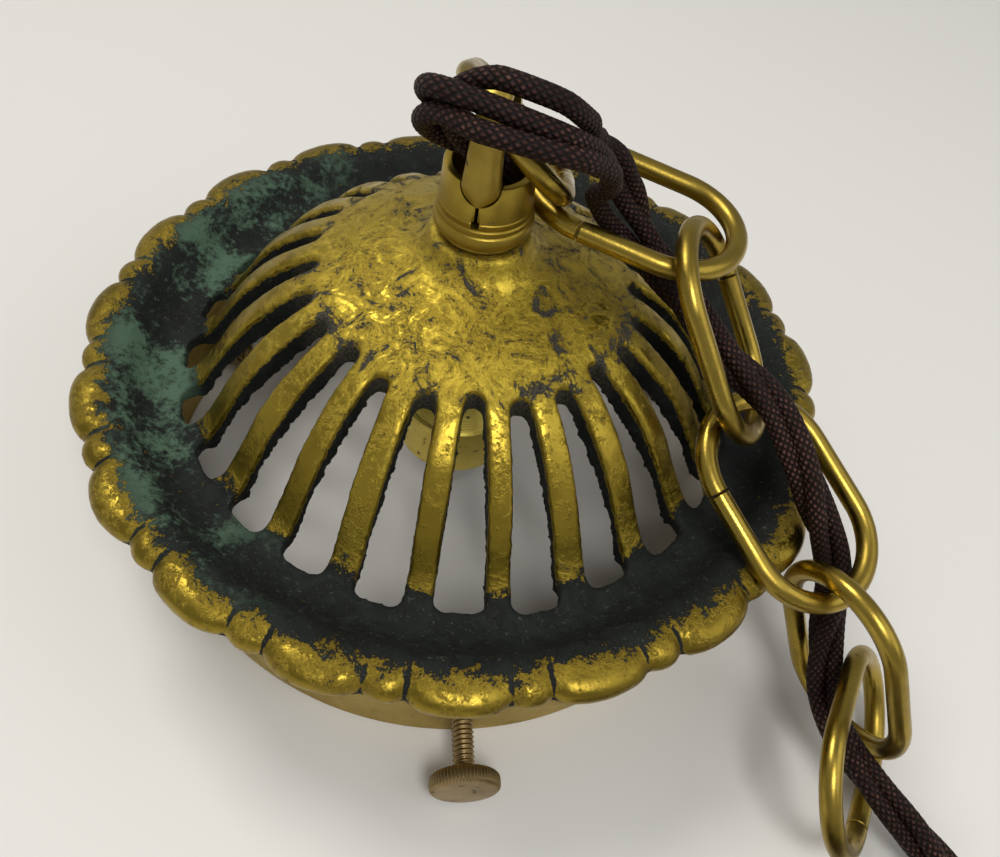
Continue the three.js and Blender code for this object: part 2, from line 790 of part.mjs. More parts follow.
// Terminal blocks with their screws, and the flex's three cores: down the nipple's bore and out to the blocks
const leadFoot = blockFoot + terminalBlockHeight + seatGap;
const terminals = {
  live: [0, plungerPlaces[0]],
  neutral: [0, plungerPlaces[1]],
  earth: [earthTerminalReach, 0],
};
Object.entries(terminals).forEach(([name, [endX, endY]]) => {
  addPiece(`terminal_block_${name}`, terminalBlock().translate(endX, endY, 0), paleBrass);
  const screw = post(terminalScrewRadius, -terminalScrewLength - seatGap, -seatGap, 12)
    .rotateY(Math.PI / 2)
    .translate(endX, endY, blockFoot + terminalBlockHeight / 2);
  addPiece(`terminal_screw_${name}`, screw, steel);
  const bearing = Math.atan2(endY, endX);
  const upX = leadRing * Math.cos(bearing);
  const upY = leadRing * Math.sin(bearing);
  const bendHeight = nippleFoot - seatGap;
  const route = new THREE.CatmullRomCurve3([
    new THREE.Vector3(upX, upY, nippleTop),
    new THREE.Vector3(upX, upY, (nippleTop + bendHeight) / 2),
    new THREE.Vector3(upX, upY, bendHeight),
    new THREE.Vector3(endX, endY, leadFoot + leadEndLength),
    new THREE.Vector3(endX, endY, leadFoot),
  ], false, 'centripetal');
  addPiece(`lead_${name}`, tubeAlong(route, leadRadius, leadSides, leadSteps), braid);
});

// The flex from the nipple through the links to its coil; the points are the route's own
const cordRoute = [
  [0, 0, 86.8],
  [0, 0, 96],
  [-3.2, -0.9, 102.6],
  [-7.2, -2.6, 106.3],
  [-10.4, -4.9, 110.4],
  [-11.2, -8.6, 115.4],
  [-8.4, -12.8, 119.6],
  [-2.2, -16, 121.4],
  [4.6, -17.4, 121],
  [11.2, -16.6, 119],
  [16.9, -11.2, 113.6],
  [20.4, -3, 105.4],
  [22.6, 2.6, 98.8],
  [25.4, 5.2, 92.6],
  [29.4, 5.4, 87.1],
  [33.1, 4, 83],
  [36.9, 1.8, 79.5],
  [41, -1.4, 76.6],
  [45.1, -5.1, 74.3],
  [49.4, -9.7, 72.4],
  [54.1, -14.6, 70.8],
  [60.7, -20.6, 68.8],
  [65.6, -25.2, 65.8],
  [69.2, -29.2, 62.6],
  [72.4, -32.6, 58.9],
  [75.6, -35.4, 53.9],
  [78.8, -37.4, 48.8],
  [82.8, -39.6, 42.7],
  [85.7, -42.5, 36.7],
  [86.6, -49.1, 27.2],
  [87.3, -53.9, 22.2],
  [88.6, -59.5, 18.7],
  [92.1, -70, 16.8],
  [98.1, -78.3, 15.2],
  [106.5, -85, 11.9],
  [115.8, -92, 6.3],
  [124.5, -102, 4.4],
  [131.5, -117, 4.2],
  [136, -133, 4.2],
  [137, -147.5, 4.2],
];
const cordPoints = cordRoute.map(([x, y, z]) => new THREE.Vector3(x, y, z));
cordPoints[0].z = nippleTop + seatGap;
const cordCurve = new THREE.CatmullRomCurve3(cordPoints, false, 'centripetal');
const cordStretch = tubeAlong(cordCurve, cordRadius, cordSides, cordSteps);
addPiece('cord_stretch', cordStretch, braid);

// The coil: loops that spiral in on the floor, climb where the spiral turns back, and spiral out on top
const coilPitch = 2 * cordRadius + coilLoopGap;
const coilFloor = tieThickness + seatGap + cordRadius;
const coilSteps = coilLoops * coilStepsPerLoop;
const coilTurnBack = coilLoops / 2;
const coilClimbMiddle = 1 / 2;
class CoilPath extends THREE.Curve {
  getPoint(t) {
    const endShare = coilEndLength / (coilLoops * fullTurn * coilOuterLoop);
    const inner = (t - endShare) / (1 - 2 * endShare);
    const looped = Math.min(Math.max(inner, 0), 1) * coilLoops;
    const inward = Math.min(looped, coilLoops - looped);
    const radius = coilOuterLoop - inward * coilPitch;
    const climb = Math.min(Math.max((looped - coilTurnBack) / coilClimbTurns + coilClimbMiddle, 0), 1);
    const turn = -looped * fullTurn;
    const place = new THREE.Vector3(
      coilCentreX + radius * Math.cos(turn),
      coilCentreY + radius * Math.sin(turn),
      coilFloor + climb * coilPitch,
    );
    const straight = inner < 0 ? -inner : Math.max(inner - 1, 0);
    const walk = straight * (1 - 2 * endShare) * coilLoops * fullTurn * coilOuterLoop;
    if (inner < 0) {
      place.y += walk;
    }
    if (inner > 1) {
      place.x += walk * Math.sin(turn);
      place.y -= walk * Math.cos(turn);
    }
    return place;
  }
}
const coilPath = new CoilPath();
addPiece('cord_coil', tubeAlong(coilPath, cordRadius, coilSides, coilSteps), braid);

// A flat tie round the coil's loops, a quarter turn after the flex comes in
function makeTie() {
  const low = coilFloor - cordRadius - seatGap;
  const high = coilFloor + coilPitch + cordRadius + seatGap;
  const outer = coilOuterLoop - coilPitch / 4 + cordRadius + seatGap;
  const inner = outer - coilPitch - 2 * (cordRadius + seatGap);
  const corner = cordRadius / 2;
  const outline = (grown, path) => {
    path.moveTo(inner - grown, low + corner);
    path.lineTo(inner + corner, low - grown);
    path.lineTo(outer - corner, low - grown);
    path.lineTo(outer + grown, low + corner);
    path.lineTo(outer + grown, high - corner);
    path.lineTo(outer - corner, high + grown);
    path.lineTo(inner + corner, high + grown);
    path.lineTo(inner - grown, high - corner);
    return path;
  };
  const band = outline(tieThickness, new THREE.Shape());
  band.holes.push(outline(0, new THREE.Path()));
  return new THREE.ExtrudeGeometry(band, { depth: tieWidth, bevelEnabled: false })
    .rotateX(Math.PI / 2)
    .translate(0, tieWidth / 2, 0)
    .rotateZ(-Math.PI / 2)
    .translate(coilCentreX, coilCentreY, 0);
}
addPiece('coil_tie', makeTie(), twine);

// Least gap between the coil's loops, measured on points along its middle
function coilLeastGap() {
  const points = coilPath.getPoints(coilLoops * coilGapSamples);
  let least = Infinity;
  for (let one = 0; one < points.length; one += 1) {
    for (let other = one + coilGapSamples / 2; other < points.length; other += 1) {
      least = Math.min(least, points[one].distanceTo(points[other]));
    }
  }
  return least - 2 * cordRadius;
}
console.log(`coil: least gap between loops ${coilLeastGap().toFixed(2)} mm`);
console.log(`cord: free stretch ${cordCurve.getLength().toFixed(1)} mm`);
console.log(`cord: coil ${coilPath.getLength().toFixed(1)} mm`);

// The origin lies under the middle of the fitting without its flex, on the surface it stands on
const cordPieces = ['cord_stretch', 'cord_coil', 'coil_tie'];
const extent = new THREE.Box3();
fitting.children
  .filter((piece) => !cordPieces.includes(piece.name))
  .forEach((piece) => extent.expandByObject(piece));
const middle = extent.getCenter(new THREE.Vector3());
fitting.position.set(-middle.x, -middle.y, -extent.min.z);
console.log(`origin lies at ${middle.x.toFixed(3)}, ${middle.y.toFixed(3)} from the crown's axis`);

export default model;
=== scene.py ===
import math

import bpy
import numpy as np
from mathutils import Matrix, Vector


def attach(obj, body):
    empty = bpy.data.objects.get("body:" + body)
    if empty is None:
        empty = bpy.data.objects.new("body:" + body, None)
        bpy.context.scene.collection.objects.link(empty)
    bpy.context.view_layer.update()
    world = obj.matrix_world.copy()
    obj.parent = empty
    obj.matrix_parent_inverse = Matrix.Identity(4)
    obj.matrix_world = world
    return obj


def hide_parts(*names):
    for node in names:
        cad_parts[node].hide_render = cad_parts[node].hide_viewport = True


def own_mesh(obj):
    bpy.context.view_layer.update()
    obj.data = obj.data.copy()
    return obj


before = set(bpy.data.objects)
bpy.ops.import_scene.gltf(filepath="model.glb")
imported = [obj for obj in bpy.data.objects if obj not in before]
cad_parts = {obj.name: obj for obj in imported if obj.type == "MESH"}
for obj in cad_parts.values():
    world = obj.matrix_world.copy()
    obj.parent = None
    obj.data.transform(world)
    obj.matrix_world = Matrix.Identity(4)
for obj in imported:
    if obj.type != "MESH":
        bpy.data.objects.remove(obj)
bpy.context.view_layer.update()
bpy.ops.object.select_all(action="DESELECT")

# The crown's own axis stands a little off the model's origin, because the box that the
# origin is taken from also holds the chain, which hangs down on one side. Sizes in this
# script are in metres, and angles in radians, unless a comment says otherwise.
crown_x, crown_y = -0.010857, 0.004016


# Camera
# It looks down at the fitting from the front, as a person does at something on a table.
# Its distances are in metres, its turns in degrees, and its sensor and lens in millimetres.
camera_before, camera_height = 0.15398, 0.20996
camera_turns = (38.599, -7.079, 4.549)
camera_sensor, camera_lens, camera_shift, camera_nearest = 36, 34.886, 0.0008, 0.01
camera_data = bpy.data.cameras.new("camera")
camera = bpy.data.objects.new("camera", camera_data)
bpy.context.scene.collection.objects.link(camera)
camera.location = (crown_x, crown_y - camera_before, camera_height)
camera.rotation_euler = [math.radians(turn) for turn in camera_turns]
camera_data.sensor_width = camera_sensor
camera_data.lens = camera_lens
camera_data.shift_x = camera_shift
camera_data.clip_start = camera_nearest
bpy.context.scene.camera = camera


# Flex
# Three braided cotton-covered cores, loosely twisted together by hand, threaded up through
# the nipple, round the strap and down through the chain to its coil.
core_radius, core_sides = 0.00192, 26
flex_lay = 0.085
flex_stretch_step, flex_coil_step = 0.0005, 0.0024

# Each core's braid: threads each way, a stitch's length, how far a thread stands out, its base
braid_threads, braid_stitch, braid_rise, braid_base = 4, 0.0034, 0.00013, 0.00004

# The cores lie side by side where they cross the strap: distances along the flex
beside_start, beside_full, beside_leaves, beside_end = 0.038, 0.012, 0.014, 0.116
beside_gap, beside_sway, beside_sway_rate = 2.06, 0.35, 90
beside_wider, beside_wider_at, beside_wider_over = 0.4, 0.088, 0.011

# Elsewhere they twist, this many core radii off the middle. That waves as (share, rate), is
# looser or closer at a few places as (share, distance along, reach), and small on the floor.
twist_start, twist_reach = 0.4, 1.13
twist_waves = ((0.12, 71), (0.07, 173))
twist_places = ((0.22, 0.031, 0.01), (-0.17, 0.195, 0.012))
floor_height, floor_along, floor_twist = 0.007, 0.33, 1.165
view_back = (-0.047, -0.63, 0.776)

# The route's points in millimetres from the crown's axis
flex_route = [
    (0, 0, 86.8), (0, 0, 96), (-3.2, -0.9, 102.6), (-7.2, -2.6, 106.3), (-10.4, -4.9, 110.4),
    (-11.2, -8.6, 115.4), (-8.4, -12.8, 119.6), (-2.2, -16, 121.4), (4.6, -17.4, 121),
    (11.2, -16.6, 119), (16.9, -11.2, 113.6), (20.4, -3, 105.4), (22.6, 2.6, 98.8),
    (25.4, 5.2, 92.6), (29.4, 5.4, 87.1), (33.1, 4, 83), (36.9, 1.8, 79.5), (41, -1.4, 76.6),
    (45.1, -5.1, 74.3), (49.4, -9.7, 72.4), (54.1, -14.6, 70.8), (60.7, -20.6, 68.8),
    (65.6, -25.2, 65.8), (69.2, -29.2, 62.6), (72.4, -32.6, 58.9), (75.6, -35.4, 53.9),
    (78.8, -37.4, 48.8), (82.8, -39.6, 42.7), (85.7, -42.5, 36.7), (86.6, -49.1, 27.2),
    (87.3, -53.9, 22.2), (88.6, -59.5, 18.7), (92.1, -70, 16.8), (98.1, -78.3, 15.2),
    (106.5, -85, 11.9), (115.8, -92, 6.3), (124.5, -102, 4.4), (131.5, -117, 4.2), (136, -133, 4.2),
    (137, -147.5, 4.2),
]
flex_points = [Vector((crown_x + x / 1000, crown_y + y / 1000, z / 1000)) for x, y, z in flex_route]


def smooth_way(points, step):
    """Points a step apart on one smooth curve through the route."""
    before = points[0] * 2 - points[1]
    after = points[-1] * 2 - points[-2]
    chain = [before, *points, after]
    way = []
    for index in range(len(points) - 1):
        p0, p1, p2, p3 = chain[index:index + 4]
        t1 = (p1 - p0).length ** 0.5
        t2 = t1 + (p2 - p1).length ** 0.5
        t3 = t2 + (p3 - p2).length ** 0.5
        count = max(1, round((p2 - p1).length / step))
        for part in range(count):
            t = t1 + (t2 - t1) * part / count
            a1 = p0 * ((t1 - t) / t1) + p1 * (t / t1)
            a2 = p1 * ((t2 - t) / (t2 - t1)) + p2 * ((t - t1) / (t2 - t1))
            a3 = p2 * ((t3 - t) / (t3 - t2)) + p3 * ((t - t2) / (t3 - t2))
            b1 = a1 * ((t2 - t) / t2) + a2 * (t / t2)
            b2 = a2 * ((t3 - t) / (t3 - t1)) + a3 * ((t - t1) / (t3 - t1))
            way.append(b1 * ((t2 - t) / (t2 - t1)) + b2 * ((t - t1) / (t2 - t1)))
    way.append(points[-1])
    return way


flex_way = smooth_way(flex_points, flex_stretch_step)

# The coil lies on the floor just outside the view: it spirals in, climbs and spirals out
coil_right, coil_before = 0.088, 0.156
coil_loop, coil_pitch, coil_floor, coil_loops, coil_climb = 0.049, 0.0089, 0.0051, 3, 0.5
coil_centre = Vector((crown_x + coil_right, crown_y - coil_before, 0))
coil_steps = round(coil_loops * 2 * math.pi * coil_loop / flex_coil_step)
for step in range(1, coil_steps + 1):
    looped = coil_loops * step / coil_steps
    inward = min(looped, coil_loops - looped)
    climb = min(max((looped - coil_loops / 2 + coil_climb / 2) / coil_climb, 0), 1)
    reach = coil_loop - inward * coil_pitch
    turn = -looped * 2 * math.pi
    flex_way.append(coil_centre + Vector((
        reach * math.cos(turn), reach * math.sin(turn), coil_floor + climb * coil_pitch)))


def lay_cores(way, radius, sides):
    """Rings of points of three cores: side by side over the strap, then turning round each other."""
    spots = np.array([list(point) for point in way])
    ahead = np.gradient(spots, axis=0)
    ahead /= np.linalg.norm(ahead, axis=1)[:, None]
    walked = np.concatenate([[0], np.cumsum(np.linalg.norm(np.diff(spots, axis=0), axis=1))])
    side = np.cross(ahead[0], (0.0, 1.0, 0.0))
    view = np.array(view_back)
    turn, order, verts = twist_start, None, []
    for index, forward in enumerate(ahead):
        side = side - forward * side.dot(forward)
        side /= np.linalg.norm(side)
        up = np.cross(forward, side)
        across = np.cross(forward, view)
        across /= np.linalg.norm(across)
        along = walked[index]
        spread = np.clip((along - beside_start) / beside_full, 0, 1)
        spread = spread * np.clip((beside_end - along) / beside_leaves, 0, 1)
        spread = spread * spread * (3 - 2 * spread)
        if index:
            turn += 2 * math.pi * (along - walked[index - 1]) / flex_lay * (1 - spread)
        loose = twist_reach
        for share, rate in twist_waves:
            loose += share * math.sin(along * rate)
        for share, middle, reach in twist_places:
            loose += share * math.exp(-((along - middle) / reach) ** 2)
        if spots[index][2] < floor_height or along > floor_along:
            loose = min(loose, floor_twist)
        leans = [turn + core * 2 * math.pi / 3 for core in range(3)]
        twisted = [radius * loose * (math.cos(lean) * side + math.sin(lean) * up) for lean in leans]
        if order is None and along > beside_start:
            order = np.argsort(np.argsort([offset.dot(across) for offset in twisted])) - 1
        gap = beside_gap + beside_wider * math.exp(-((along - beside_wider_at) / beside_wider_over) ** 2)
        for core in range(3):
            offset = twisted[core]
            if order is not None and spread > 0:
                beside = radius * order[core] * gap * across
                beside = beside + radius * beside_sway * math.sin(along * beside_sway_rate + core * 2) * up
                offset = offset * (1 - spread) + beside * spread
            heart = spots[index] + offset
            for corner in range(sides):
                round_share = corner / sides
                along_share = along / braid_stitch
                strand = math.sin(2 * math.pi * (braid_threads * round_share + along_share))
                strand *= math.sin(2 * math.pi * (braid_threads * round_share - along_share))
                bump = radius + braid_rise * abs(strand) ** 0.7 - braid_base
                angle = 2 * math.pi * round_share
                verts.append(heart + bump * (math.cos(angle) * side + math.sin(angle) * up))
    return np.array(verts), walked


def mesh_piece(name, verts, faces):
    """A new piece of these points and faces."""
    mesh = bpy.data.meshes.new(name)
    mesh.from_pydata([tuple(vert) for vert in verts], [], faces)
    piece = bpy.data.objects.new(name, mesh)
    bpy.context.scene.collection.objects.link(piece)
    return piece


def shade_all_smooth(piece):
    for face in piece.data.polygons:
        face.use_smooth = True


def tube_faces(rings, sides, first, stride):
    """Faces of a closed tube, whose rings of points start a stride apart in the list."""
    faces = []
    for here in range(first, first + (rings - 1) * stride, stride):
        for corner in range(sides):
            following = (corner + 1) % sides
            faces.append((here + corner, here + following,
                          here + stride + following, here + stride + corner))
    last = first + (rings - 1) * stride
    return faces + [tuple(reversed(range(first, first + sides))), tuple(range(last, last + sides))]


def cores_mesh(name, way, radius, sides):
    """One mesh of the three cores, with closed ends, whose UV goes round and along them."""
    verts, walked = lay_cores(way, radius, sides)
    walked = walked * 1000
    faces, face_uvs = [], []
    for core in range(3):
        faces += tube_faces(len(way), sides, core * sides, 3 * sides)
        for start, end in zip(walked, walked[1:]):
            for corner in range(sides):
                low, high = corner / sides, (corner + 1) / sides
                face_uvs += [(low, start), (high, start), (high, end), (low, end)]
        for start in (walked[0], walked[-1]):
            face_uvs += [(0, start)] * sides
    piece = mesh_piece(name, verts, faces)
    layer = piece.data.uv_layers.new(name="around_and_along")
    layer.data.foreach_set("uv", [number for pair in face_uvs for number in pair])
    shade_all_smooth(piece)
    return piece


def new_material(name):
    """A fresh material with its tree, its surface shader and each place on the object."""
    material = bpy.data.materials.new(name)
    material.use_nodes = True
    tree = material.node_tree
    place = add(tree, "ShaderNodeTexCoord").outputs["Object"]
    return material, tree, tree.nodes["Principled BSDF"], place


def add(tree, kind, inputs=(), **settings):
    """Adds a node, with its settings, and links or sets its inputs."""
    node = tree.nodes.new(kind)
    for key, setting in settings.items():
        setattr(node, key, setting)
    for key, source in dict(inputs).items():
        if isinstance(source, bpy.types.NodeSocket):
            tree.links.new(source, node.inputs[key])
        else:
            node.inputs[key].default_value = source
    return node


def feed(shader, **sources):
    """Links what comes out of other nodes to the shader."""
    for name, source in sources.items():
        shader.id_data.links.new(source, shader.inputs[name.replace("_", " ")])


def value(kind, *inputs):
    """A sum, with at least one node's output among its inputs."""
    tree = next(source.id_data for source in inputs if isinstance(source, bpy.types.NodeSocket))
    return add(tree, "ShaderNodeMath", dict(enumerate(inputs)), operation=kind).outputs[0]


def plus(first, second):
    return value("ADD", first, second)


def minus(first, second):
    return value("SUBTRACT", first, second)


def times(first, second):
    return value("MULTIPLY", first, second)


def noise(place, scale, detail, roughness=0.5, distortion=0.0):
    """Soft noise from 0 to 1."""
    return add(place.id_data, "ShaderNodeTexNoise", {
        "Vector": place, "Scale": scale, "Detail": detail, "Roughness": roughness,
        "Distortion": distortion}).outputs["Fac"]


def bumps(height, strength, distance, **under):
    """Makes the surface look as if it stood out by this height, over other bumps if given."""
    return add(height.id_data, "ShaderNodeBump", {
        "Height": height, "Strength": strength, "Distance": distance, **under}).outputs["Normal"]


def ramp(source, stops):
    """A colour ramp with its stops as (place, colour)."""
    node = add(source.id_data, "ShaderNodeValToRGB", {"Fac": source})
    elements = node.color_ramp.elements
    while len(elements) < len(stops):
        elements.new(0.5)
    for element, (place, colour) in zip(elements, stops):
        element.position = place
        element.color = (*colour, 1)
    return node.outputs["Color"]


def braided_cotton():
    """Glazed cotton braid: dark brown, paler where its threads cross over and stand up, partly as wear and
    partly as painted sheen.
    """
    material, tree, shader, place = new_material("braided_cotton")
    uv = add(tree, "ShaderNodeUVMap", uv_map="around_and_along").outputs["UV"]
    parts = add(tree, "ShaderNodeSeparateXYZ", {"Vector": uv})
    around = times(parts.outputs["X"], 2 * math.pi * braid_threads)
    along = times(parts.outputs["Y"], 2 * math.pi / (1000 * braid_stitch))
    waves = [value("SINE", value(slant, around, along)) for slant in ("ADD", "SUBTRACT")]
    crossing = value("ABSOLUTE", times(*waves))
    fluff = noise(place, 900, 3)
    # Paler on the raised crossings of the threads: partly wear, partly a painted sheen on their tops
    worn_and_painted_sheen = times(times(crossing, fluff), noise(place, 60, 2))
    colour = ramp(worn_and_painted_sheen, [
        (0.0, (0.003, 0.0011, 0.0009)),
        (0.08, (0.009, 0.003, 0.002)),
        (0.2, (0.034, 0.012, 0.008)),
        (0.36, (0.12, 0.06, 0.047)),
    ])
    shader.inputs["Roughness"].default_value = 0.62
    shader.inputs["Specular IOR Level"].default_value = 0.18
    threads = bumps(crossing, 0.7, 0.0004)
    feed(shader, Base_Color=colour, Normal=bumps(fluff, 0.35, 0.0002, Normal=threads))
    return material


flex = cores_mesh("flex", flex_way, core_radius, core_sides)
flex.data.materials.append(braided_cotton())
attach(flex, "fitting")
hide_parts("cord_stretch", "cord_coil")


# Crown casting
# One sand casting in brass: a dome with a plain boss and 24 slots, a trough round it and a
# scalloped rim. Its raised faces were polished by hand, and the hollows were left as cast.
crown_slots, first_slot = 24, math.radians(-129.7)
slot_inner, slot_outer, slot_corner = 0.0358, 0.0632, 0.0021
rib_top, rib_foot = 0.0047, 0.0064
core_deep, core_height, core_lift = 0.05, 0.034, 0.0249

# How far the slots run in past those of the solid, each by its own amount, and how loosely
# the sand cores lay
slot_further, slot_wave, slot_wave_rate, slot_wave_start = 0.0022, 0.0009, 2.1, 4.7
rib_spread, slot_foot_spread, slot_turn_spread = (0.94, 1.06), (-0.0005, 0.0007), (-0.006, 0.006)

lobe_pairs, first_lobe = 19, math.radians(-84.7)
big_lobe, small_lobe = 0.0032, 0.0018
big_lobe_share, small_lobe_share = 0.35, 0.135
big_lobe_rise, small_lobe_rise, between_lobes = 0.0003, 0.0001, 0.0004
between_lobes_sink = 0.0013
rim_inner, rim_swell_over, rim_swell_power, rim_under = 0.0735, 0.0085, 1.3, 0.0389
rim_crest, rim_crest_reach, rim_upper, rim_upper_over = 0.0795, 0.0062, 0.0415, 0.002
rim_cleft, rim_cleft_over, rim_edge = 0.0765, 0.005, 0.0745
crown_columns, crown_grain, crown_most_triangles = lobe_pairs * 26, 0.00052, 190000

# Radius and height of the outline, in millimetres: over the top, then back under
crown_top = [
    (6.65, 83.2), (9.9, 83.2), (10.6, 82.8), (11.0, 81.4), (12.1, 79.4), (14.2, 77.6), (17.6, 76.1),
    (22, 74.8), (27.5, 73.1), (31.5, 71.6), (35, 70), (39.5, 67.2), (44.5, 63.2), (48.8, 58.6),
    (52, 54.2), (55.4, 48.4), (58.6, 43.4), (61.6, 40.4), (65.2, 39.3), (69.4, 40), (72.6, 42.4),
    (75, 45), (77.6, 46.3), (80.2, 46.2), (82.2, 44.8), (83, 42.8),
]
crown_under = [
    (82.3, 40.8), (80, 39.8), (77, 39.6), (73.2, 38.2), (71.9, 35.9), (64, 35.9), (58.1, 36.9),
    (53.1, 46.3), (45.6, 54.6), (34.9, 63.3), (24.9, 68.6), (12, 72.1), (6.65, 72.1),
]


# Where turned and cut pieces keep a sharp edge, in degrees
edge_angle = 38


def choose(*pieces):
    """Selects just these pieces, with the first one active."""
    bpy.ops.object.select_all(action="DESELECT")
    for piece in pieces:
        piece.select_set(True)
    bpy.context.view_layer.objects.active = pieces[0]


def shade_by_angle(piece, angle):
    """Shades the edges that are flatter than this, in degrees, smooth."""
    choose(piece)
    bpy.ops.object.shade_smooth_by_angle(angle=math.radians(angle))


def face_out(piece, smooth_angle=None):
    """Turns all the piece's faces outwards and shades its blunt edges smooth if asked."""
    choose(piece)
    bpy.ops.object.mode_set(mode="EDIT")
    bpy.ops.mesh.select_all(action="SELECT")
    bpy.ops.mesh.normals_make_consistent(inside=False)
    bpy.ops.object.mode_set(mode="OBJECT")
    if smooth_angle is not None:
        shade_by_angle(piece, smooth_angle)


def turn_on_lathe(name, outline, sides):
    """A ring drawn out step by step through (radius, height) places, as a turned piece is."""
    bpy.ops.object.select_all(action="DESELECT")
    foot = 0.00001
    radius, height = outline[0]
    radius = max(radius, foot)
    bpy.ops.mesh.primitive_circle_add(vertices=sides, radius=radius, location=(0, 0, height))
    piece = bpy.context.object
    piece.name = name
    bpy.ops.object.transform_apply(location=True, rotation=True, scale=True)
    bpy.ops.object.mode_set(mode="EDIT")
    bpy.ops.mesh.select_all(action="SELECT")
    for next_radius, next_height in outline[1:]:
        next_radius = max(next_radius, foot)
        bpy.ops.mesh.extrude_edges_move(TRANSFORM_OT_translate={"value": (0, 0, next_height - height)})
        grown = next_radius / radius
        bpy.ops.transform.resize(value=(grown, grown, 1), center_override=(0, 0, next_height))
        radius, height = next_radius, next_height
    bpy.ops.mesh.select_all(action="SELECT")
    bpy.ops.mesh.remove_doubles(threshold=2.5 * foot)
    bpy.ops.object.mode_set(mode="OBJECT")
    face_out(piece, edge_angle)
    return piece


def put(piece, place=(0, 0, 0), turn=None):
    """Moves a finished mesh to its place, with its object left at the origin."""
    if turn is not None:
        piece.data.transform(turn)
    piece.data.transform(Matrix.Translation(place))
    return piece


def apply_modifier(piece, kind, **settings):
    """Adds one modifier, sets it and applies it."""
    modifier = piece.modifiers.new(kind.lower(), kind)
    for key, setting in settings.items():
        setattr(modifier, key, setting)
    choose(piece)
    bpy.ops.object.modifier_apply(modifier=modifier.name)


def spots_of(piece):
    """The piece's points as an array."""
    spots = np.empty(len(piece.data.vertices) * 3)
    piece.data.vertices.foreach_get("co", spots)
    return spots.reshape(-1, 3)


def round_axis(spots):
    """How far each point lies from the axis, and at which angle."""
    return np.hypot(spots[:, 0], spots[:, 1]), np.arctan2(spots[:, 1], spots[:, 0])


def set_spots(piece, spots):
    """Moves the piece's points to these places."""
    piece.data.vertices.foreach_set("co", spots.ravel())
    piece.data.update()


def mark(piece, name, values):
    """Keeps one number at each point of the piece for its material."""
    layer = piece.data.attributes.new(name, "FLOAT", "POINT")
    layer.data.foreach_set("value", np.asarray(values, np.float32))


def lobe_shape(angle):
    """How far a big and a small lobe swell at this angle, each from 0 to 1."""
    share = (angle - first_lobe) / (2 * math.pi / lobe_pairs)
    share = share - np.round(share)
    big = np.sqrt(np.clip(1 - (share / big_lobe_share) ** 2, 0, 1))
    other = share - np.sign(share) * 0.5
    small = np.sqrt(np.clip(1 - (other / small_lobe_share) ** 2, 0, 1))
    return big, small


crown_heights = smooth_way([Vector((radius, 0, height)) for radius, height in crown_top], 1.2)
crown_outline = [(spot.x / 1000, spot.z / 1000) for spot in crown_heights]
crown_outline += [(radius / 1000, height / 1000) for radius, height in crown_under]
crown_outline.append(crown_outline[0])
crown = turn_on_lathe("crown", crown_outline, crown_columns)

spots = spots_of(crown)
reach, angle = round_axis(spots)
big, small = lobe_shape(angle)
on_rim = np.clip((reach - rim_inner) / rim_swell_over, 0, 1) ** rim_swell_power
on_rim = on_rim * (spots[:, 2] > rim_under)
swell = on_rim * (big * big_lobe + small * small_lobe)
lobe = np.maximum(big, small)
upper = np.clip((spots[:, 2] - rim_upper) / rim_upper_over, 0, 1)
crest = np.clip(1 - np.abs(reach - rim_crest) / rim_crest_reach, 0, 1)
in_cleft = (1 - lobe) ** 1.5 * np.clip((reach - rim_cleft) / rim_cleft_over, 0, 1)
sink = in_cleft * upper * between_lobes_sink
rise = (big_lobe_rise * big + small_lobe_rise * small - between_lobes) * crest * upper
spots[:, 0] += np.cos(angle) * swell
spots[:, 1] += np.sin(angle) * swell
spots[:, 2] += rise - sink
set_spots(crown, spots)

# The slots were cored out: each is round at its inner end and squarer at its foot
slot_draws = np.random.RandomState(7)
slot_share = 2 * math.pi / crown_slots
cutters = []
for slot in range(crown_slots):
    start = slot_inner - slot_further - slot_wave * math.sin(slot_wave_rate * slot - slot_wave_start)
    head = (start * slot_share - rib_top * slot_draws.uniform(*rib_spread)) / 2
    foot = (slot_outer * slot_share - rib_foot * slot_draws.uniform(*rib_spread)) / 2
    bow = [(start + head - head * math.cos(t), -head * math.sin(t))
           for t in np.linspace(-math.pi / 2, math.pi / 2, 9)]
    end = slot_outer + slot_draws.uniform(*slot_foot_spread)
    corner, cut_corner = slot_corner, slot_corner * 0.3
    corners = [(end - corner, foot), (end - cut_corner, foot - cut_corner), (end, foot - corner)]
    around = [*bow, *((x, -y) for x, y in corners), *reversed(corners)]
    core = mesh_piece("slot_core", [(x, y, core_height) for x, y in around], [tuple(range(len(around)))])
    apply_modifier(core, "SOLIDIFY", thickness=core_deep, offset=0)
    turned = first_slot + slot * slot_share + slot_draws.uniform(*slot_turn_spread)
    cutters.append(put(core, (0, 0, core_lift), Matrix.Rotation(turned, 4, "Z")))
choose(*cutters)
bpy.ops.object.join()
slot_cores = bpy.context.object
face_out(slot_cores)
apply_modifier(crown, "BOOLEAN", object=slot_cores, operation="DIFFERENCE", solver="EXACT")
bpy.data.objects.remove(slot_cores)

apply_modifier(crown, "REMESH", mode="VOXEL", voxel_size=crown_grain)
apply_modifier(crown, "SMOOTH", factor=0.5, iterations=20)


def below_top(spots):
    """How far each point lies under the crown's smooth upper face, in millimetres."""
    reach = round_axis(spots)[0] * 1000
    table = np.array([(spot.x, spot.z) for spot in crown_heights])
    return np.interp(reach, table[:, 0], table[:, 1]) - spots[:, 2] * 1000


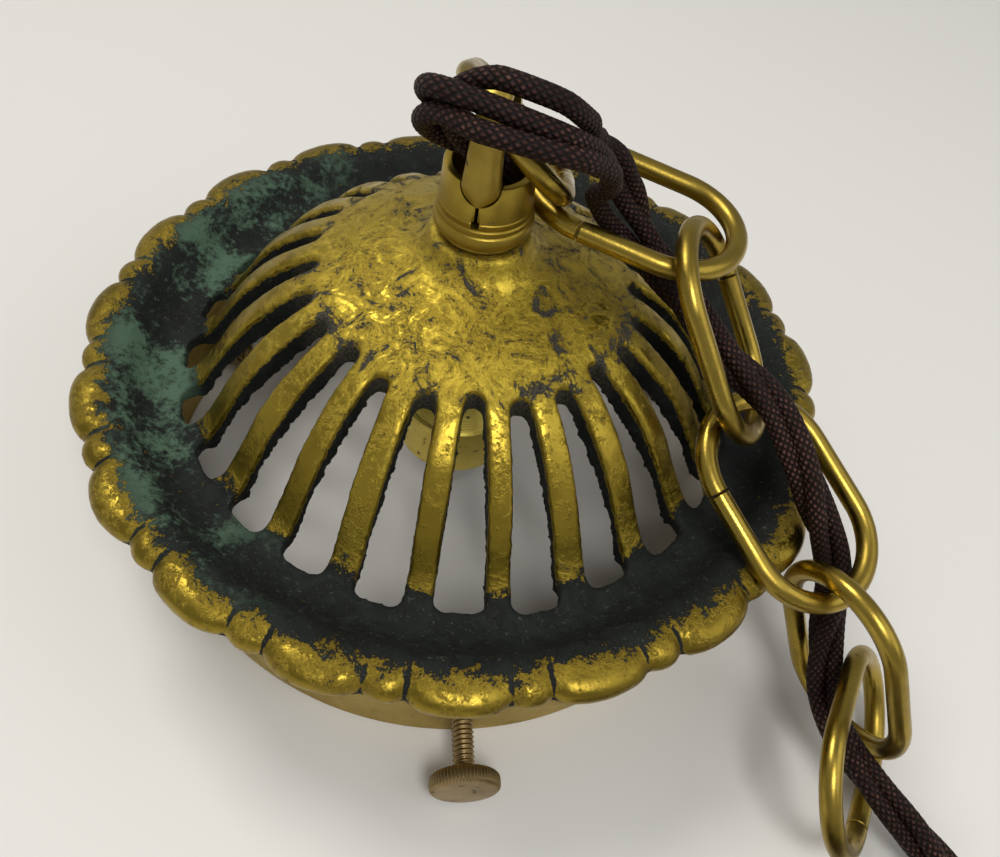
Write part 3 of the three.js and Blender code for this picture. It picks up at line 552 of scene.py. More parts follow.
def cast_skin(piece, name, weights, scale, depth, strength):
    """Roughens the piece where the weights say, as a sand mould leaves it."""
    texture = bpy.data.textures.new(name, "CLOUDS")
    texture.noise_scale = scale
    texture.noise_depth = depth
    group = piece.vertex_groups.new(name=name)
    levels = 8
    for level in range(1, levels + 1):
        chosen = np.where(np.ceil(np.clip(weights, 0, 1) * levels) == level)[0]
        group.add([int(index) for index in chosen], level / levels, "REPLACE")
    apply_modifier(piece, "DISPLACE", texture=texture, strength=strength, mid_level=0.5,
                   vertex_group=name, texture_coords="LOCAL")


spots = spots_of(crown)
under = below_top(spots)
reach = round_axis(spots)[0]
as_cast = np.clip((under - 0.6) / 1.5, 0, 1) * (reach < 0.085)
in_trough = np.clip((reach - 0.058) / 0.004, 0, 1) * np.clip((rim_edge - reach) / 0.003, 0, 1)
cast_skin(crown, "cast_walls", as_cast, scale=0.0016, depth=3, strength=0.0006)
cast_skin(crown, "cast_trough", in_trough, scale=0.0022, depth=3, strength=0.0005)
flash = np.clip((under - 4.5) / 1.5, 0, 1) * (reach < 0.0635) * (reach > 0.036)
cast_skin(crown, "slot_flash", flash, scale=0.0011, depth=2, strength=0.0013)
polished = np.clip(1 - as_cast - in_trough, 0, 1)
cast_skin(crown, "hand_polish", polished, scale=0.009, depth=1, strength=0.0005)
triangles = sum(len(face.vertices) - 2 for face in crown.data.polygons)
apply_modifier(crown, "DECIMATE", ratio=min(1, crown_most_triangles / triangles))
crown.vertex_groups.clear()
shade_all_smooth(crown)

spots = spots_of(crown)
reach, angle = round_axis(spots)
big, small = lobe_shape(angle)
creased = 2.6 * (1 - np.maximum(big, small)) ** 2
mark(crown, "under", below_top(spots) + np.where(reach > rim_edge, creased, 0))
mark(crown, "reach", reach * 1000)
put(crown, (crown_x, crown_y, 0))


def between(source, low, high):
    """Goes smoothly from 0 to 1 as the source goes from low to high."""
    return add(source.id_data, "ShaderNodeMapRange", {"Value": source, "From Min": low, "From Max": high},
               interpolation_type="SMOOTHSTEP").outputs["Result"]


def blend(share, first, second):
    """The first colour where the share is 0, and the second where it is 1."""
    colours = [(*colour, 1) if isinstance(colour, tuple) else colour for colour in (first, second)]
    mixed = add(share.id_data, "ShaderNodeMix", {0: share, 6: colours[0], 7: colours[1]}, data_type="RGBA")
    return mixed.outputs[2]


# Polished brass, dull and fresh, then the plate's paler brass, which is painted light on the top face, then
# the rim and where it begins to tarnish
dull_brass, fresh_brass = (0.33, 0.235, 0.030), (0.44, 0.32, 0.042)
plate_brass_painted_light, rim_brass, tarnished_brass = (0.66, 0.49, 0.06), (0.18, 0.125, 0.018), (0.14, 0.095, 0.016)

# The dark skin: in pits, in hollows, under dust and under green tarnish
pit_dark, pit_pale = (0.018, 0.017, 0.012), (0.075, 0.068, 0.046)
hollow_dark, hollow_pale = (0.0028, 0.0048, 0.004), (0.0085, 0.0115, 0.0092)
dust_grey, tarnish_green = (0.13, 0.13, 0.10), (0.085, 0.155, 0.10)


def cast_brass():
    """Brass polished over a sand casting: bright on top, with painted light making the plate paler still,
    pitted in patches, near black in the hollows.
    """
    material, tree, shader, place = new_material("cast_brass")

    def off_middle(source, strength):
        return times(minus(source, 0.5), strength)

    under = add(tree, "ShaderNodeAttribute", attribute_name="under").outputs["Fac"]
    reach = add(tree, "ShaderNodeAttribute", attribute_name="reach").outputs["Fac"]
    wide, mid = noise(place, 45, 3, 0.6), noise(place, 150, 8, 0.7, 1.2)
    fine, grit = noise(place, 650, 6, 0.7), noise(place, 2100, 4, 0.7)

    # How much dark skin is left: all of it in the trough and on the walls, then speckles, then odd pits
    sides = times(between(reach, 57.5, 63), between(reach, 84, 74))
    walls = times(between(under, 0.9, 3.2), 1.15)
    ring = times(between(reach, 31.5, 33.6), between(reach, 37, 34.6))
    plate = between(reach, 40, 35)
    level = plus(value("MAXIMUM", sides, walls), times(ring, 0.2))
    level = plus(level, times(plate, 0.25))
    level = plus(level, off_middle(wide, 0.5))
    level = plus(level, off_middle(mid, 2.3))
    speckled = minus(1.0, times(plate, 0.45))
    speckle = plus(off_middle(fine, 1.3), off_middle(grit, 1.0))
    level = plus(level, times(speckle, speckled))
    creases = noise(place, 330, 5, 0.6, 2.2)
    crack = between(value("ABSOLUTE", minus(creases, 0.5)), 0.02, 0.006)
    crack = times(times(crack, plate), between(mid, 0.44, 0.56))
    dark = value("MAXIMUM", between(level, 0.45, 0.5), times(crack, 0.8))
    tinge = between(level, 0.0, 0.42)

    bright = blend(between(wide, 0.35, 0.65), dull_brass, fresh_brass)
    # Painted light: the plate takes a paler brass, standing in for the light that its top face catches
    bright = blend(times(plate, 0.55), bright, plate_brass_painted_light)
    bright = blend(times(between(reach, 64, 70), 0.5), bright, rim_brass)
    tarnish = blend(times(tinge, 0.45), bright, tarnished_brass)
    pitted = blend(between(grit, 0.4, 0.62), pit_dark, pit_pale)
    hollow = blend(between(mid, 0.42, 0.62), hollow_dark, hollow_pale)
    powder = plus(times(grit, 0.5), times(fine, 0.5))
    dust = between(powder, 0.55, 0.66)
    hollow = blend(times(dust, 0.5), hollow, dust_grey)
    from_axis = add(tree, "ShaderNodeMapping", {"Vector": place, "Location": (-crown_x, -crown_y, 0)})
    ways = add(tree, "ShaderNodeSeparateXYZ", {"Vector": from_axis.outputs[0]})
    left = between(times(ways.outputs["X"], -1.0), 0.022, 0.055)
    patchy = between(plus(wide, off_middle(fine, 0.6)), 0.44, 0.62)
    green = times(times(left, sides), patchy)
    hollow = blend(times(green, 0.85), hollow, tarnish_green)
    colour = blend(dark, tarnish, blend(plate, hollow, pitted))

    metal = minus(1.0, times(dark, 0.8))
    gloss = plus(times(dark, 0.3), plus(0.2, times(fine, 0.2)))
    gloss = plus(gloss, times(tinge, 0.16))
    shader.inputs["Specular IOR Level"].default_value = 0.35
    relief = plus(times(dark, -0.5), times(fine, 0.25))
    relief = plus(relief, times(times(grit, tinge), 0.3))
    feed(shader, Base_Color=colour, Metallic=metal, Roughness=gloss, Normal=bumps(relief, 0.7, 0.0006))
    return material


crown.data.materials.append(cast_brass())
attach(crown, "fitting")
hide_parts("crown_casting")


# Hook cup
# Turned from brass bar and screwed down on the boss: a neck, a bead, two fine steps and a
# plain wall with two U notches for the strap. A saw cut runs from a notch to a square hole.
cup_foot, cup_rim, cup_notch, cup_turn = 0.0833, 0.0992, 0.0042, math.radians(-8.4)
cup_sides, cup_edge, cup_edge_angle, notch_room, notch_length = 96, 0.00012, 35, 0.0002, 0.026
saw_cut_size, saw_cut_drop = (0.0007, 0.012, 0.0046), 0.0015
pin_hole_size, pin_hole_drop, cut_forward = (0.0016, 0.012, 0.0016), 0.0041, -0.006
strap_width, strap_top_width, strap_thickness = 0.0075, 0.0054, 0.0028


def cut_out(piece, cutters):
    """Takes the cutters out of the piece."""
    for cutter in cutters:
        apply_modifier(piece, "BOOLEAN", object=cutter, operation="DIFFERENCE", solver="EXACT")
        bpy.data.objects.remove(cutter)


def block(name, size, place):
    """A plain box, used only to cut with."""
    bpy.ops.mesh.primitive_cube_add(size=1, location=(0, 0, 0))
    piece = bpy.context.object
    piece.name = name
    piece.data.transform(Matrix.Diagonal((*size, 1)))
    return put(piece, place)


def rod(name, radius, length, sides=32):
    """A plain round bar about the origin, used only to cut with."""
    bpy.ops.mesh.primitive_cylinder_add(vertices=sides, radius=radius, depth=length, location=(0, 0, 0))
    piece = bpy.context.object
    piece.name = name
    return piece


# The cup's radius at each height over its foot, up to the last fine step, and of its bore
cup_outline = [(radius, cup_foot + rise) for radius, rise in [
    (0.0067, 0), (0.0082, 0), (0.0086, 0.0003), (0.0085, 0.0013), (0.0089, 0.0017), (0.0096, 0.0018),
    (0.01, 0.0022), (0.0101, 0.0028), (0.0101, 0.0041), (0.0099, 0.0047), (0.0096, 0.0049),
    (0.0095, 0.0051), (0.0097, 0.0053), (0.0097, 0.0062), (0.0095, 0.0064), (0.0094, 0.0066),
    (0.0095, 0.0068), (0.0095, 0.0078), (0.0093, 0.008),
]]
cup_outline += [(radius, cup_rim - drop) for radius, drop in [
    (0.009, 0.0006), (0.0088, 0.0001), (0.0086, 0), (0.0075, 0), (0.0073, 0.0002),
]]
cup_outline += [(radius, cup_foot + rise) for radius, rise in [
    (0.0073, 0.0048), (0.0071, 0.0046), (0.0067, 0.0046), (0.0067, 0),
]]
cup = turn_on_lathe("cup", cup_outline, cup_sides)
notch_foot = cup_rim - cup_notch
notch_round = strap_width / 2 + notch_room
u_bar = rod("notch_round", notch_round, notch_length, 40)
put(u_bar, (0, 0, notch_foot + strap_width / 2 + notch_room), Matrix.Rotation(math.pi / 2, 4, "X"))
saw_cut = block("saw_cut", saw_cut_size, (0, cut_forward, notch_foot - saw_cut_drop))
pin_hole = block("pin_hole", pin_hole_size, (0, cut_forward, notch_foot - pin_hole_drop))
cut_out(cup, [u_bar, saw_cut, pin_hole])
apply_modifier(cup, "BEVEL", width=cup_edge, segments=2, limit_method="ANGLE",
               angle_limit=math.radians(cup_edge_angle), use_clamp_overlap=True)
shade_by_angle(cup, edge_angle)
put(cup, (crown_x, crown_y, 0), Matrix.Rotation(cup_turn, 4, "Z"))


def worn_brass(name, bright, worn_and_painted_sheen, grime, gloss, wear, grime_level, scratch_scale=(1, 1, 1)):
    """Plain brass with its own tarnish, rubbed marks and dirt: made once for each kind of finish."""
    material, tree, shader, place = new_material(name)
    cloudy, spotty, fine = noise(place, 70, 5), noise(place, 420, 5), noise(place, 1500, 2)
    tarnished = add(tree, "ShaderNodeMapRange", {
        "Value": plus(cloudy, times(spotty, 0.3)), "From Min": 0.5, "From Max": 0.85}).outputs["Result"]
    colour = blend(times(tarnished, wear), bright, worn_and_painted_sheen)
    dirt = between(plus(spotty, times(cloudy, 0.35)), grime_level + 0.2, grime_level + 0.28)
    colour = blend(dirt, colour, grime)
    stretched = add(tree, "ShaderNodeMapping", {"Vector": place, "Scale": scratch_scale})
    scratches = noise(stretched.outputs["Vector"], 260, 4)
    rough = plus(times(minus(scratches, 0.5), 0.22), plus(gloss, times(tarnished, 0.16)))
    relief = plus(times(scratches, 0.5), times(fine, 0.2))
    relief = minus(relief, times(dirt, 0.3))
    feed(shader, Base_Color=colour, Metallic=minus(1.0, times(dirt, 0.6)),
         Roughness=plus(rough, times(dirt, 0.25)), Normal=bumps(relief, 0.35, 0.00025))
    return material


cup_brass = worn_brass("turned_cup_brass", (0.42, 0.30, 0.045), (0.26, 0.18, 0.03), (0.06, 0.05, 0.03),
                       gloss=0.33, wear=0.8, scratch_scale=(1, 1, 8), grime_level=0.66)
cup.data.materials.append(cup_brass)
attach(cup, "fitting")
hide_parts("hook_cup")


# Strap loop
# A cast band bent over into an arch: flat inside, rounded over outside with a worn facet
# along each edge. Its round feet are brazed into the cup's notches.
strap_half_span, strap_foot, strap_shoulder, strap_apex = 0.0082, 0.0953, 0.1074, 0.116
strap_foot_rise, strap_leg_rise, strap_least = 0.0035, 0.008, 0.0011


def skin(name, rings):
    """A mesh laid over rings of points, all with the same number of points, with closed ends."""
    sides = len(rings[0])
    faces = tube_faces(len(rings), sides, 0, sides)
    piece = mesh_piece(name, [spot for ring in rings for spot in ring], faces)
    face_out(piece, 42)
    return piece


def wire_ring(heart, radius, out, up, sides):
    """Points round a wire at one place along it."""
    return [heart + radius * (math.cos(t) * out + math.sin(t) * up)
            for t in np.linspace(0, 2 * math.pi, sides, endpoint=False)]


# The band's section: width across, then outwards from its inner face
strap_section = [
    (-0.5, -0.5), (-0.5, 0.0), (-0.46, 0.2), (-0.33, 0.4), (-0.18, 0.49), (0.0, 0.52), (0.18, 0.49),
    (0.33, 0.4), (0.46, 0.2), (0.5, 0.0), (0.5, -0.5), (0.25, -0.5), (0.0, -0.5), (-0.25, -0.5),
]
strap_heights = [*np.linspace(strap_foot, strap_foot + strap_foot_rise, 7), strap_foot + strap_leg_rise]
strap_way = [(-strap_half_span, height, -1.0, 0.0) for height in strap_heights]
for t in np.linspace(math.pi, 0, 33):
    rise = (strap_apex - strap_shoulder) * math.sin(t)
    strap_way.append((strap_half_span * math.cos(t), strap_shoulder + rise, math.cos(t), math.sin(t)))
strap_way += [(strap_half_span, height, 1.0, 0.0) for height in reversed(strap_heights)]
strap_rings = []
for y, z, out_y, out_z in strap_way:
    share = (z - strap_foot) / (strap_apex - strap_foot)
    width = strap_width + (strap_top_width - strap_width) * share
    foot_rise = z - strap_foot
    if foot_rise < strap_width / 2:
        rounded = (strap_width / 2) ** 2 - (strap_width / 2 - foot_rise) ** 2
        width = 2 * math.sqrt(max(rounded, strap_least ** 2))
    strap_rings.append([(across * width, y + out * strap_thickness * out_y, z + out * strap_thickness * out_z)
                        for across, out in strap_section])
strap = skin("strap", strap_rings)
put(strap, (crown_x, crown_y, 0), Matrix.Rotation(cup_turn, 4, "Z"))
strap.data.materials.append(worn_brass("strap_brass", (0.48, 0.35, 0.07), (0.28, 0.20, 0.04),
                                       (0.05, 0.045, 0.03), gloss=0.36, wear=0.7, grime_level=0.65))
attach(strap, "fitting")
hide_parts("strap_loop")


# Chain
# Six ovals of round brass wire, closed cold so that the ends only butt. They hang from the
# strap and fall over the crown's front, each lying as it came to rest.
link_wire, link_length, link_width, link_butt = 0.0045, 0.0497, 0.0337, 0.0003
link_sides, link_steps, link_steps_from, link_cut, link_cut_rounding = 24, 110, 0.0012, 0.9, 0.0002
link_dents = ((0.004, 260, 1), (0.003, 610, 2))
link_names = ["first", "second", "third", "fourth", "fifth", "sixth"]

# Middle in millimetres from the crown's axis, then the long and the wide way of each link
link_stances = [
    ((4.68, 14.96, 96.7), (-0.054, -0.878, 0.475), (-0.742, 0.354, 0.57)),
    ((31.1, 11.54, 85.15), (0.954, -0.286, -0.09), (0.285, 0.958, -0.025)),
    ((52.81, -7.94, 71.82), (0.48, -0.47, -0.74), (-0.36, -0.88, 0.31)),
    ((70.62, -33.96, 52.38), (0.59, -0.71, -0.37), (0.77, 0.64, -0.01)),
    ((88.45, -57.21, 29.7), (0.39, -0.31, -0.87), (0.45, -0.76, 0.47)),
    ((94.06, -70.89, 16.68), (0.42, 0.88, -0.23), (-0.41, 0.41, 0.82)),
]


def link_ring(walk, straight, bend):
    """Centre and outward way of the wire at a distance along the oval, in the link's own plane."""
    half, arc = straight / 2, math.pi * bend
    if walk < straight:
        return Vector((walk - half, -bend, 0)), Vector((0, -1, 0))
    if walk < straight + arc:
        turn = (walk - straight) / bend - math.pi / 2
        out = Vector((math.cos(turn), math.sin(turn), 0))
        return Vector((half, 0, 0)) + out * bend, out
    if walk < 2 * straight + arc:
        return Vector((half - (walk - straight - arc), bend, 0)), Vector((0, 1, 0))
    turn = (walk - 2 * straight - arc) / bend + math.pi / 2
    out = Vector((math.cos(turn), math.sin(turn), 0))
    return Vector((-half, 0, 0)) + out * bend, out


chain_brass = worn_brass("chain_brass", (0.40, 0.285, 0.05), (0.24, 0.165, 0.03), (0.07, 0.05, 0.025),
                         gloss=0.25, wear=0.75, grime_level=0.68)
link_bend = (link_width - link_wire) / 2
link_straight = link_length - link_width
link_way = 2 * link_straight + 2 * math.pi * link_bend
for number, (middle, long_way, wide_way) in enumerate(link_stances):
    long_way = Vector(long_way).normalized()
    wide_way = Vector(wide_way)
    wide_way = (wide_way - long_way * wide_way.dot(long_way)).normalized()
    across = long_way.cross(wide_way)
    stance = Matrix((long_way, wide_way, across)).transposed().to_4x4()
    rings = []
    walks = [link_butt / 2, link_butt / 2 + link_cut_rounding,
             *np.linspace(link_steps_from, link_way - link_steps_from, link_steps),
             link_way - link_butt / 2 - link_cut_rounding, link_way - link_butt / 2]
    for step, walk in enumerate(walks):
        heart, out = link_ring(walk, link_straight, link_bend)
        radius = link_wire / 2 * (link_cut if step in (0, len(walks) - 1) else 1)
        radius *= 1 + sum(depth * math.sin(walk * rate + number * shift) for depth, rate, shift in link_dents)
        rings.append(wire_ring(heart, radius, out, Vector((0, 0, 1)), link_sides))
    link = skin("link_" + link_names[number], rings)
    put(link, (crown_x + middle[0] / 1000, crown_y + middle[1] / 1000, middle[2] / 1000), stance)
    link.data.materials.append(chain_brass)
    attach(link, link_names[number] + "_link")
    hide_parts(f"chain_link_{number + 1}")


# Gallery collar
# Sheet brass rolled into a ring, with a flange turned in at the top where three screws hold
# it under the crown. Three thumb screws pass through it to grip the neck of a shade.
collar_radius, collar_height, collar_wall, collar_flange = 0.0715, 0.0355, 0.0015, 0.006
thumb_height, thumb_hole, thumb_first = 0.0085, 0.0027, -81.7
thumb_places = [math.radians(thumb_first + 120 * place) for place in range(3)]
collar_inner = collar_radius - collar_wall
collar = turn_on_lathe("collar", [
    (collar_inner + 0.0003, 0), (collar_radius - 0.0004, 0), (collar_radius, 0.0004),
    (collar_radius, 0.012), (collar_radius, 0.024), (collar_radius, collar_height - 0.0012),
    (collar_radius - 0.0004, collar_height - 0.0003), (collar_radius - 0.0012, collar_height),
    (collar_inner - collar_flange, collar_height),
    (collar_inner - collar_flange, collar_height - collar_wall),
    (collar_inner - 0.0006, collar_height - collar_wall), (collar_inner, collar_height - 0.0022),
    (collar_inner, 0.012), (collar_inner, 0.0003), (collar_inner + 0.0003, 0),
], 240)


def sideways(angle, reach, height):
    """Lays what stands up the Z axis down along a radius at this angle and height."""
    return (Matrix.Rotation(angle, 4, "Z") @ Matrix.Translation((reach, 0, height))
            @ Matrix.Rotation(math.pi / 2, 4, "Y"))


cut_out(collar, [put(rod("thumb_hole", thumb_hole, 0.01), turn=sideways(angle, collar_inner, thumb_height))
                 for angle in thumb_places])
shade_by_angle(collar, edge_angle)
put(collar, (crown_x, crown_y, 0))
collar.data.materials.append(worn_brass("collar_brass", (0.46, 0.34, 0.09), (0.31, 0.22, 0.06),
                                        (0.12, 0.09, 0.05), gloss=0.45, wear=0.8,
                                        scratch_scale=(1, 1, 6), grime_level=0.66))
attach(collar, "fitting")
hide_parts("gallery_collar")


# Thumb screws
# Turned from brass rod: a threaded shank and a flat head with a coarse straight knurl on its
# edge. Each screws in through a bush in the collar's wall.
thread_pitch, thread_depth, shank_radius, shank_tip = 0.001058, 0.00042, 0.00238, 0.062
head_radius, head_seat, head_face, head_grooves, groove_depth = 0.00745, 0.0843, 0.0881, 60, 0.00042
thumb_names = ["front", "right", "left"]
screw_brass = worn_brass("thumb_screw_brass", (0.36, 0.26, 0.12), (0.20, 0.14, 0.06), (0.06, 0.04, 0.025),
                         gloss=0.34, wear=0.9, grime_level=0.62)
shank_heights = np.arange(shank_tip + 0.0006, head_seat - 0.0002, thread_pitch / 8)
thumb_outline = [(0, shank_tip), (shank_radius - 0.0006, shank_tip)]
thumb_outline += [(shank_radius, height) for height in shank_heights]
thumb_outline += [
    (0.0028, head_seat), (0.0062, head_seat), (head_radius - 0.0007, head_seat + 0.0001),
    (head_radius - 0.0001, head_seat + 0.0007), (head_radius, head_seat + 0.0012),
    (head_radius, head_seat + 0.0026), (head_radius - 0.0001, head_face - 0.0007),
    (head_radius - 0.0007, head_face - 0.0002), (head_radius - 0.0013, head_face - 0.0001),
    (0.0048, head_face), (0.002, head_face), (0, head_face),
]


def threaded(spots, radius, pitch, depth, low, high):
    """The share of its reach that each point keeps when a thread is cut at this radius."""
    reach, around = round_axis(spots)
    turned_by = spots[:, 2] / pitch - around / (2 * math.pi)
    ridge = np.abs(2 * (turned_by - np.floor(turned_by)) - 1)
    on_shank = (np.abs(reach - radius) < 0.00002) & (spots[:, 2] > low) & (spots[:, 2] < high)
    return np.where(on_shank, 1 - depth * (1 - ridge) / radius, 1)


for number, angle in enumerate(thumb_places):
    screw = turn_on_lathe("thumb_screw_" + thumb_names[number], thumb_outline, 240 if number == 0 else 180)
    spots = spots_of(screw)
    reach, around = round_axis(spots)
    groove = np.abs(np.sin(around * head_grooves / 2)) ** 0.8
    on_edge = np.clip((reach - head_radius + 0.0011) / 0.0008, 0, 1) * (spots[:, 2] > head_seat - 0.0001)
    knurl = 1 - (groove_depth * (1 - groove) * on_edge) / np.maximum(reach, 0.0001)
    thread = threaded(spots, shank_radius, thread_pitch, thread_depth, shank_tip, head_seat - 0.0001)
    spots[:, :2] *= (knurl * thread)[:, None]
    set_spots(screw, spots)
    put(screw, turn=Matrix.Translation((crown_x, crown_y, 0)) @ sideways(angle, 0, thumb_height))
    screw.data.materials.append(screw_brass)
    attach(screw, thumb_names[number] + "_thumb_screw")
    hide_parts(f"thumb_screw_{number + 1}")


# Lampholder
# Thin turned brass: a domed cap on the nipple, a fine thread and a plain skirt with two
# bayonet slots. It hangs under the dome and is seen only through the crown's slots.
skirt_radius, skirt_bore, skirt_foot, skirt_top = 0.01375, 0.0126, 0.01872, 0.0322
barrel_radius, barrel_bore, barrel_foot, barrel_top = 0.0131, 0.0121, 0.0328, 0.0484
holder_thread_pitch, holder_thread_depth = 0.000977, 0.00045
body_outline = [(skirt_bore, skirt_foot), (skirt_radius, skirt_foot)]
body_outline += [(skirt_radius, height) for height in np.arange(0.0195, 0.0321, 0.0012)]
body_outline += [(skirt_radius, skirt_top), (barrel_radius, 0.0326)]
body_outline += [(barrel_radius, height)
                 for height in np.arange(barrel_foot, barrel_top - 0.0001, holder_thread_pitch / 8)]
body_outline += [(barrel_radius, barrel_top), (barrel_bore, barrel_top), (barrel_bore, 0.03387),
                 (0.0109, 0.03387), (0.0109, 0.03257), (skirt_bore, 0.0311), (skirt_bore, skirt_foot)]
body = turn_on_lathe("lampholder_body", body_outline, 120)
spots = spots_of(body)
spots[:, :2] *= threaded(spots, barrel_radius, holder_thread_pitch, holder_thread_depth,
                         barrel_foot - 0.0001, barrel_top - 0.0001)[:, None]
set_spots(body, spots)

# Each bayonet slot runs up, then across, then back down a little: sizes, then how far round and up
bayonet_cuts = (((0.006, 0.0026, 0.0094), 0, 0.0027), ((0.006, 0.005, 0.0026), 0.0012, 0.0061),
                ((0.006, 0.0026, 0.0026), 0.0024, 0.0048))
cutters = []
for angle in (math.radians(200), math.radians(20)):
    for size, across, rise in bayonet_cuts:
        cut = block("bayonet_slot", size, (skirt_radius, across, skirt_foot + rise))
        cutters.append(put(cut, turn=Matrix.Rotation(angle, 4, "Z")))
cut_out(body, cutters)
shade_by_angle(body, 30)
put(body, (crown_x, crown_y, 0))
# Paler and yellower than the other brass: painted light, standing in for the light that the dome's shade
# keeps off the holder
holder_brass = worn_brass("holder_brass", (0.88, 0.70, 0.16), (0.62, 0.47, 0.08), (0.09, 0.08, 0.05),
                          gloss=0.3, wear=0.7, scratch_scale=(1, 1, 5), grime_level=0.6)
body.data.materials.append(holder_brass)
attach(body, "fitting")
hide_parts("holder_body")


# Small fittings inside
# Turned and stamped pieces that keep their plain shapes: their finish is set here.
# Each takes one finish, by the start of its name.
def moulded(name, base, mottled, gloss):
    """Pressed insulating material or plain thread: mottled, dusty in places."""
    material, tree, shader, place = new_material(name)
    mottle = noise(place, 350, 6)
    colour = ramp(mottle, [(0.35, base), (0.7, mottled)])
    rough = add(tree, "ShaderNodeMapRange", {
        "Value": mottle, "To Min": gloss, "To Max": gloss + 0.3}).outputs["Result"]
    feed(shader, Base_Color=colour, Roughness=rough, Normal=bumps(mottle, 0.3, 0.0002))
    return material


bright_steel = worn_brass("screw_steel", (0.55, 0.54, 0.51), (0.30, 0.28, 0.25), (0.12, 0.07, 0.04),
                          gloss=0.26, wear=0.8, grime_level=0.55)
bakelite = moulded("brown_insulator", (0.018, 0.010, 0.008), (0.05, 0.032, 0.024), 0.35)
lead_cotton = moulded("lead_braid", (0.010, 0.006, 0.005), (0.05, 0.03, 0.025), 0.6)
# The brass pieces inside take the holder's brass, which carries painted light
finishes = {
    "holder_cap": holder_brass, "hanger_nipple": holder_brass, "clamp_washer": holder_brass,
    "lock_nut": holder_brass, "terminal_block": holder_brass, "contact_plunger": holder_brass,
    "screw_bush": screw_brass, "gallery_screw": bright_steel, "terminal_screw": bright_steel,
    "entry_grub_screw": bright_steel, "holder_insert": bakelite, "lead": lead_cotton,
}
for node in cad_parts.values():
    for start, finish in finishes.items():
        if node.name.startswith(start):
            node.data.materials.clear()
            node.data.materials.append(finish)


# Plunger springs
# Seven turns of hard steel wire, wound cold, with flat ends. One stands behind each lamp
# contact and shortens as the lamp's cap pushes the contact in.
spring_wire, spring_reach, spring_turns, spring_flat = 0.00028, 0.0023, 7, 0.06
spring_low, spring_high, spring_pressed, plunger_offset = 0.03757, 0.04517, 0.605, 0.0055
spring_rise = spring_high - spring_low - 2 * spring_wire
for number, name, offset in ((1, "first", -plunger_offset), (2, "second", plunger_offset)):
    rings = []
    for share in np.linspace(0, 1, spring_turns * 24 + 1):
        climb = min(max((share - spring_flat) / (1 - 2 * spring_flat), 0), 1)
        turn = 2 * math.pi * spring_turns * share
        out, up = Vector((math.cos(turn), math.sin(turn), 0)), Vector((0, 0, 1))
        heart = out * spring_reach + up * (spring_low + spring_wire + climb * spring_rise)
        rings.append(wire_ring(heart, spring_wire, out, up, 10))
    spring = put(skin("spring_" + name, rings), (crown_x, crown_y + offset, 0))
    spring.data.materials.append(bright_steel)
    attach(spring, "fitting")
    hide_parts(f"plunger_spring_{number}")
    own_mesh(spring)


# Tie round the coil
# Two turns of two-ply cotton twine round the coiled flex, drawn close by hand and knotted on
# top with two short ends.
twine_radius, twine_lay, twine_sides, twine_groove = 0.0008, 0.0042, 12, 0.2
tie_half_width, tie_half_height, tie_from_coil, tie_height = 0.00965, 0.0088, 0.04233, 0.0097
tie_turn_pitch, tie_half_turns, tie_overlap = 0.0017, 1.25, 0.1
knot_size, knot_lift = 0.00072, 0.0021
end_start, end_reach, end_sway, end_drop = 0.001, 0.011, 0.0035, 0.0012
tie_middle = Vector((coil_centre.x, coil_centre.y - tie_from_coil, tie_height))


def laid_twine(name, way):
    """Two-ply twine along a way."""
    rings, walked, side = [], 0, Vector((0.3, 0.2, 0.9))
    for index, heart in enumerate(way):
        ahead = (way[min(index + 1, len(way) - 1)] - way[max(index - 1, 0)]).normalized()
        side = (side - ahead * side.dot(ahead)).normalized()
        up = ahead.cross(side)
        walked += (heart - way[index - 1]).length if index else 0
        ring = []
        for angle in np.linspace(0, 2 * math.pi, twine_sides, endpoint=False):
            ply = 1 - twine_groove + twine_groove * abs(math.cos(angle - 2 * math.pi * walked / twine_lay))
            ring.append(heart + twine_radius * ply * (math.cos(angle) * side + math.sin(angle) * up))
        rings.append(ring)
    return skin(name, rings)


def squared(share):
    """Keeps the sign and takes the root, which squares a circle's corners."""
    return math.copysign(abs(share) ** 0.5, share)


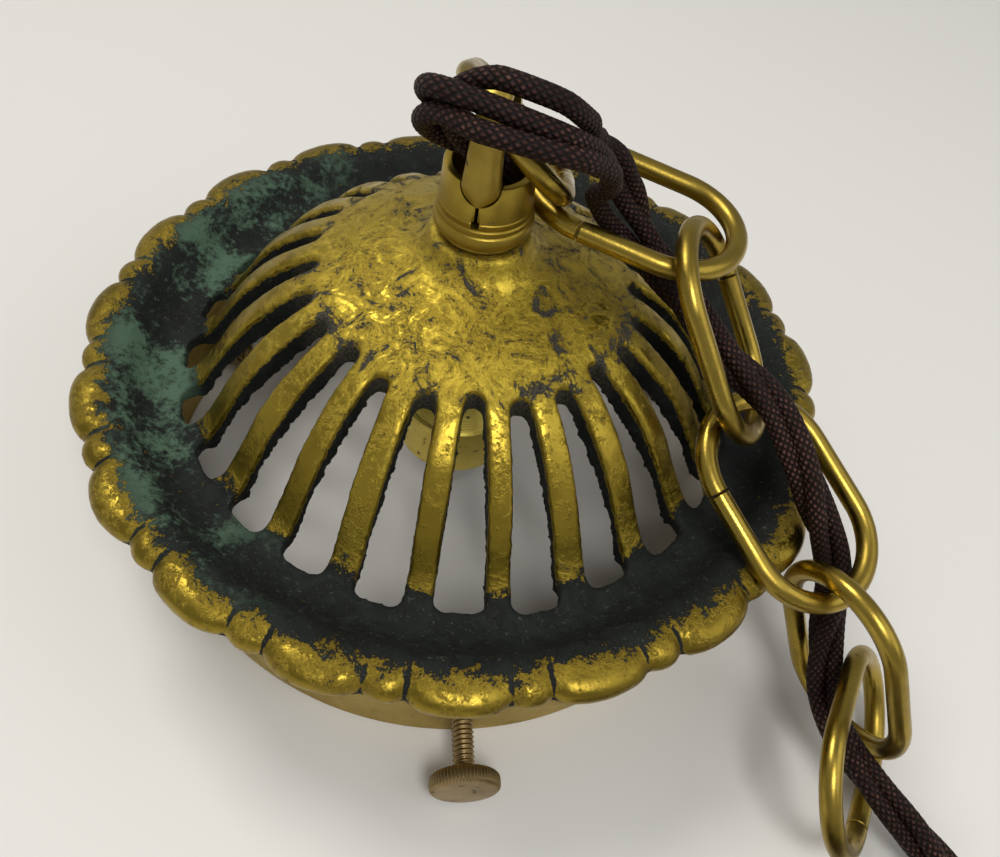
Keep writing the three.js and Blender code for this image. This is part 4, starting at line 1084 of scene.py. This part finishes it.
turns_way = [tie_middle + Vector(((turn / (2 * math.pi) - tie_half_turns) * tie_turn_pitch,
                                  tie_half_width * squared(math.cos(turn)),
                                  tie_half_height * squared(math.sin(turn))))
             for turn in np.linspace(math.pi / 2 - tie_overlap, 4.5 * math.pi + tie_overlap, 220)]
knot_middle = tie_middle + Vector((0, 0, tie_half_height + knot_lift))
knot_way = [knot_middle + knot_size * Vector((
    math.sin(t) + 2 * math.sin(2 * t), math.cos(t) - 2 * math.cos(2 * t), -1.1 * math.sin(3 * t)))
    for t in np.linspace(0.1, 2 * math.pi - 0.1, 90)]
twine_pieces = [laid_twine("twine_turns", turns_way), laid_twine("twine_knot", knot_way)]
for side in (-1, 1):
    end_way = [knot_middle + Vector((side * (end_start + end_reach * share),
                                     side * end_sway * math.sin(2.4 * share),
                                     -end_drop * math.sin(math.pi / 2 * share)))
               for share in np.linspace(0, 1, 24)]
    twine_pieces.append(laid_twine("twine_end", end_way))
choose(*twine_pieces)
bpy.ops.object.join()
tie = bpy.context.object
tie.name = "tie"
shade_all_smooth(tie)
tie.data.materials.append(moulded("tie_twine", (0.36, 0.29, 0.2), (0.62, 0.54, 0.4), 0.75))
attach(tie, "fitting")
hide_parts("coil_tie")


# Floor and light
# A plain pale table under one broad soft window light from the upper left, with two weaker
# lights that open up the shadows. Places are in metres and powers in watts.
table_size, table_colour, table_gloss = 3, (0.76, 0.745, 0.715, 1), 0.6
room_colour, room_strength = (0.80, 0.80, 0.80, 1), 0.4
window_colour, fill_colour = (1.0, 0.97, 0.91), (1.0, 0.99, 0.97)
bpy.ops.mesh.primitive_plane_add(size=table_size, location=(0, 0, 0))
floor = bpy.context.object
floor.name = "floor"
pale_table, _, shader, _ = new_material("pale_table")
shader.inputs["Base Color"].default_value = table_colour
shader.inputs["Roughness"].default_value = table_gloss
floor.data.materials.append(pale_table)

world = bpy.data.worlds.new("room")
bpy.context.scene.world = world
world.use_nodes = True
background = world.node_tree.nodes["Background"].inputs
background["Color"].default_value = room_colour
background["Strength"].default_value = room_strength


def lamp(name, place, size, power, colour):
    """A soft rectangular light that faces the middle of the table."""
    data = bpy.data.lights.new(name, "AREA")
    data.shape = "RECTANGLE"
    data.size, data.size_y = size
    data.energy = power
    data.color = colour
    light = bpy.data.objects.new(name, data)
    light.location = place
    light.rotation_euler = (-Vector(place)).to_track_quat("-Z", "Y").to_euler()
    bpy.context.scene.collection.objects.link(light)


lamp("window", (-0.45, 0.3, 0.95), (0.4, 0.34), 4.7, window_colour)
lamp("front_fill", (0.14, -0.52, 0.86), (0.3, 0.3), 3.8, fill_colour)
lamp("side_fill", (0.75, -0.2, 0.6), (0.7, 0.7), 1.5, fill_colour)
bpy.context.scene.view_settings.view_transform = "Standard"
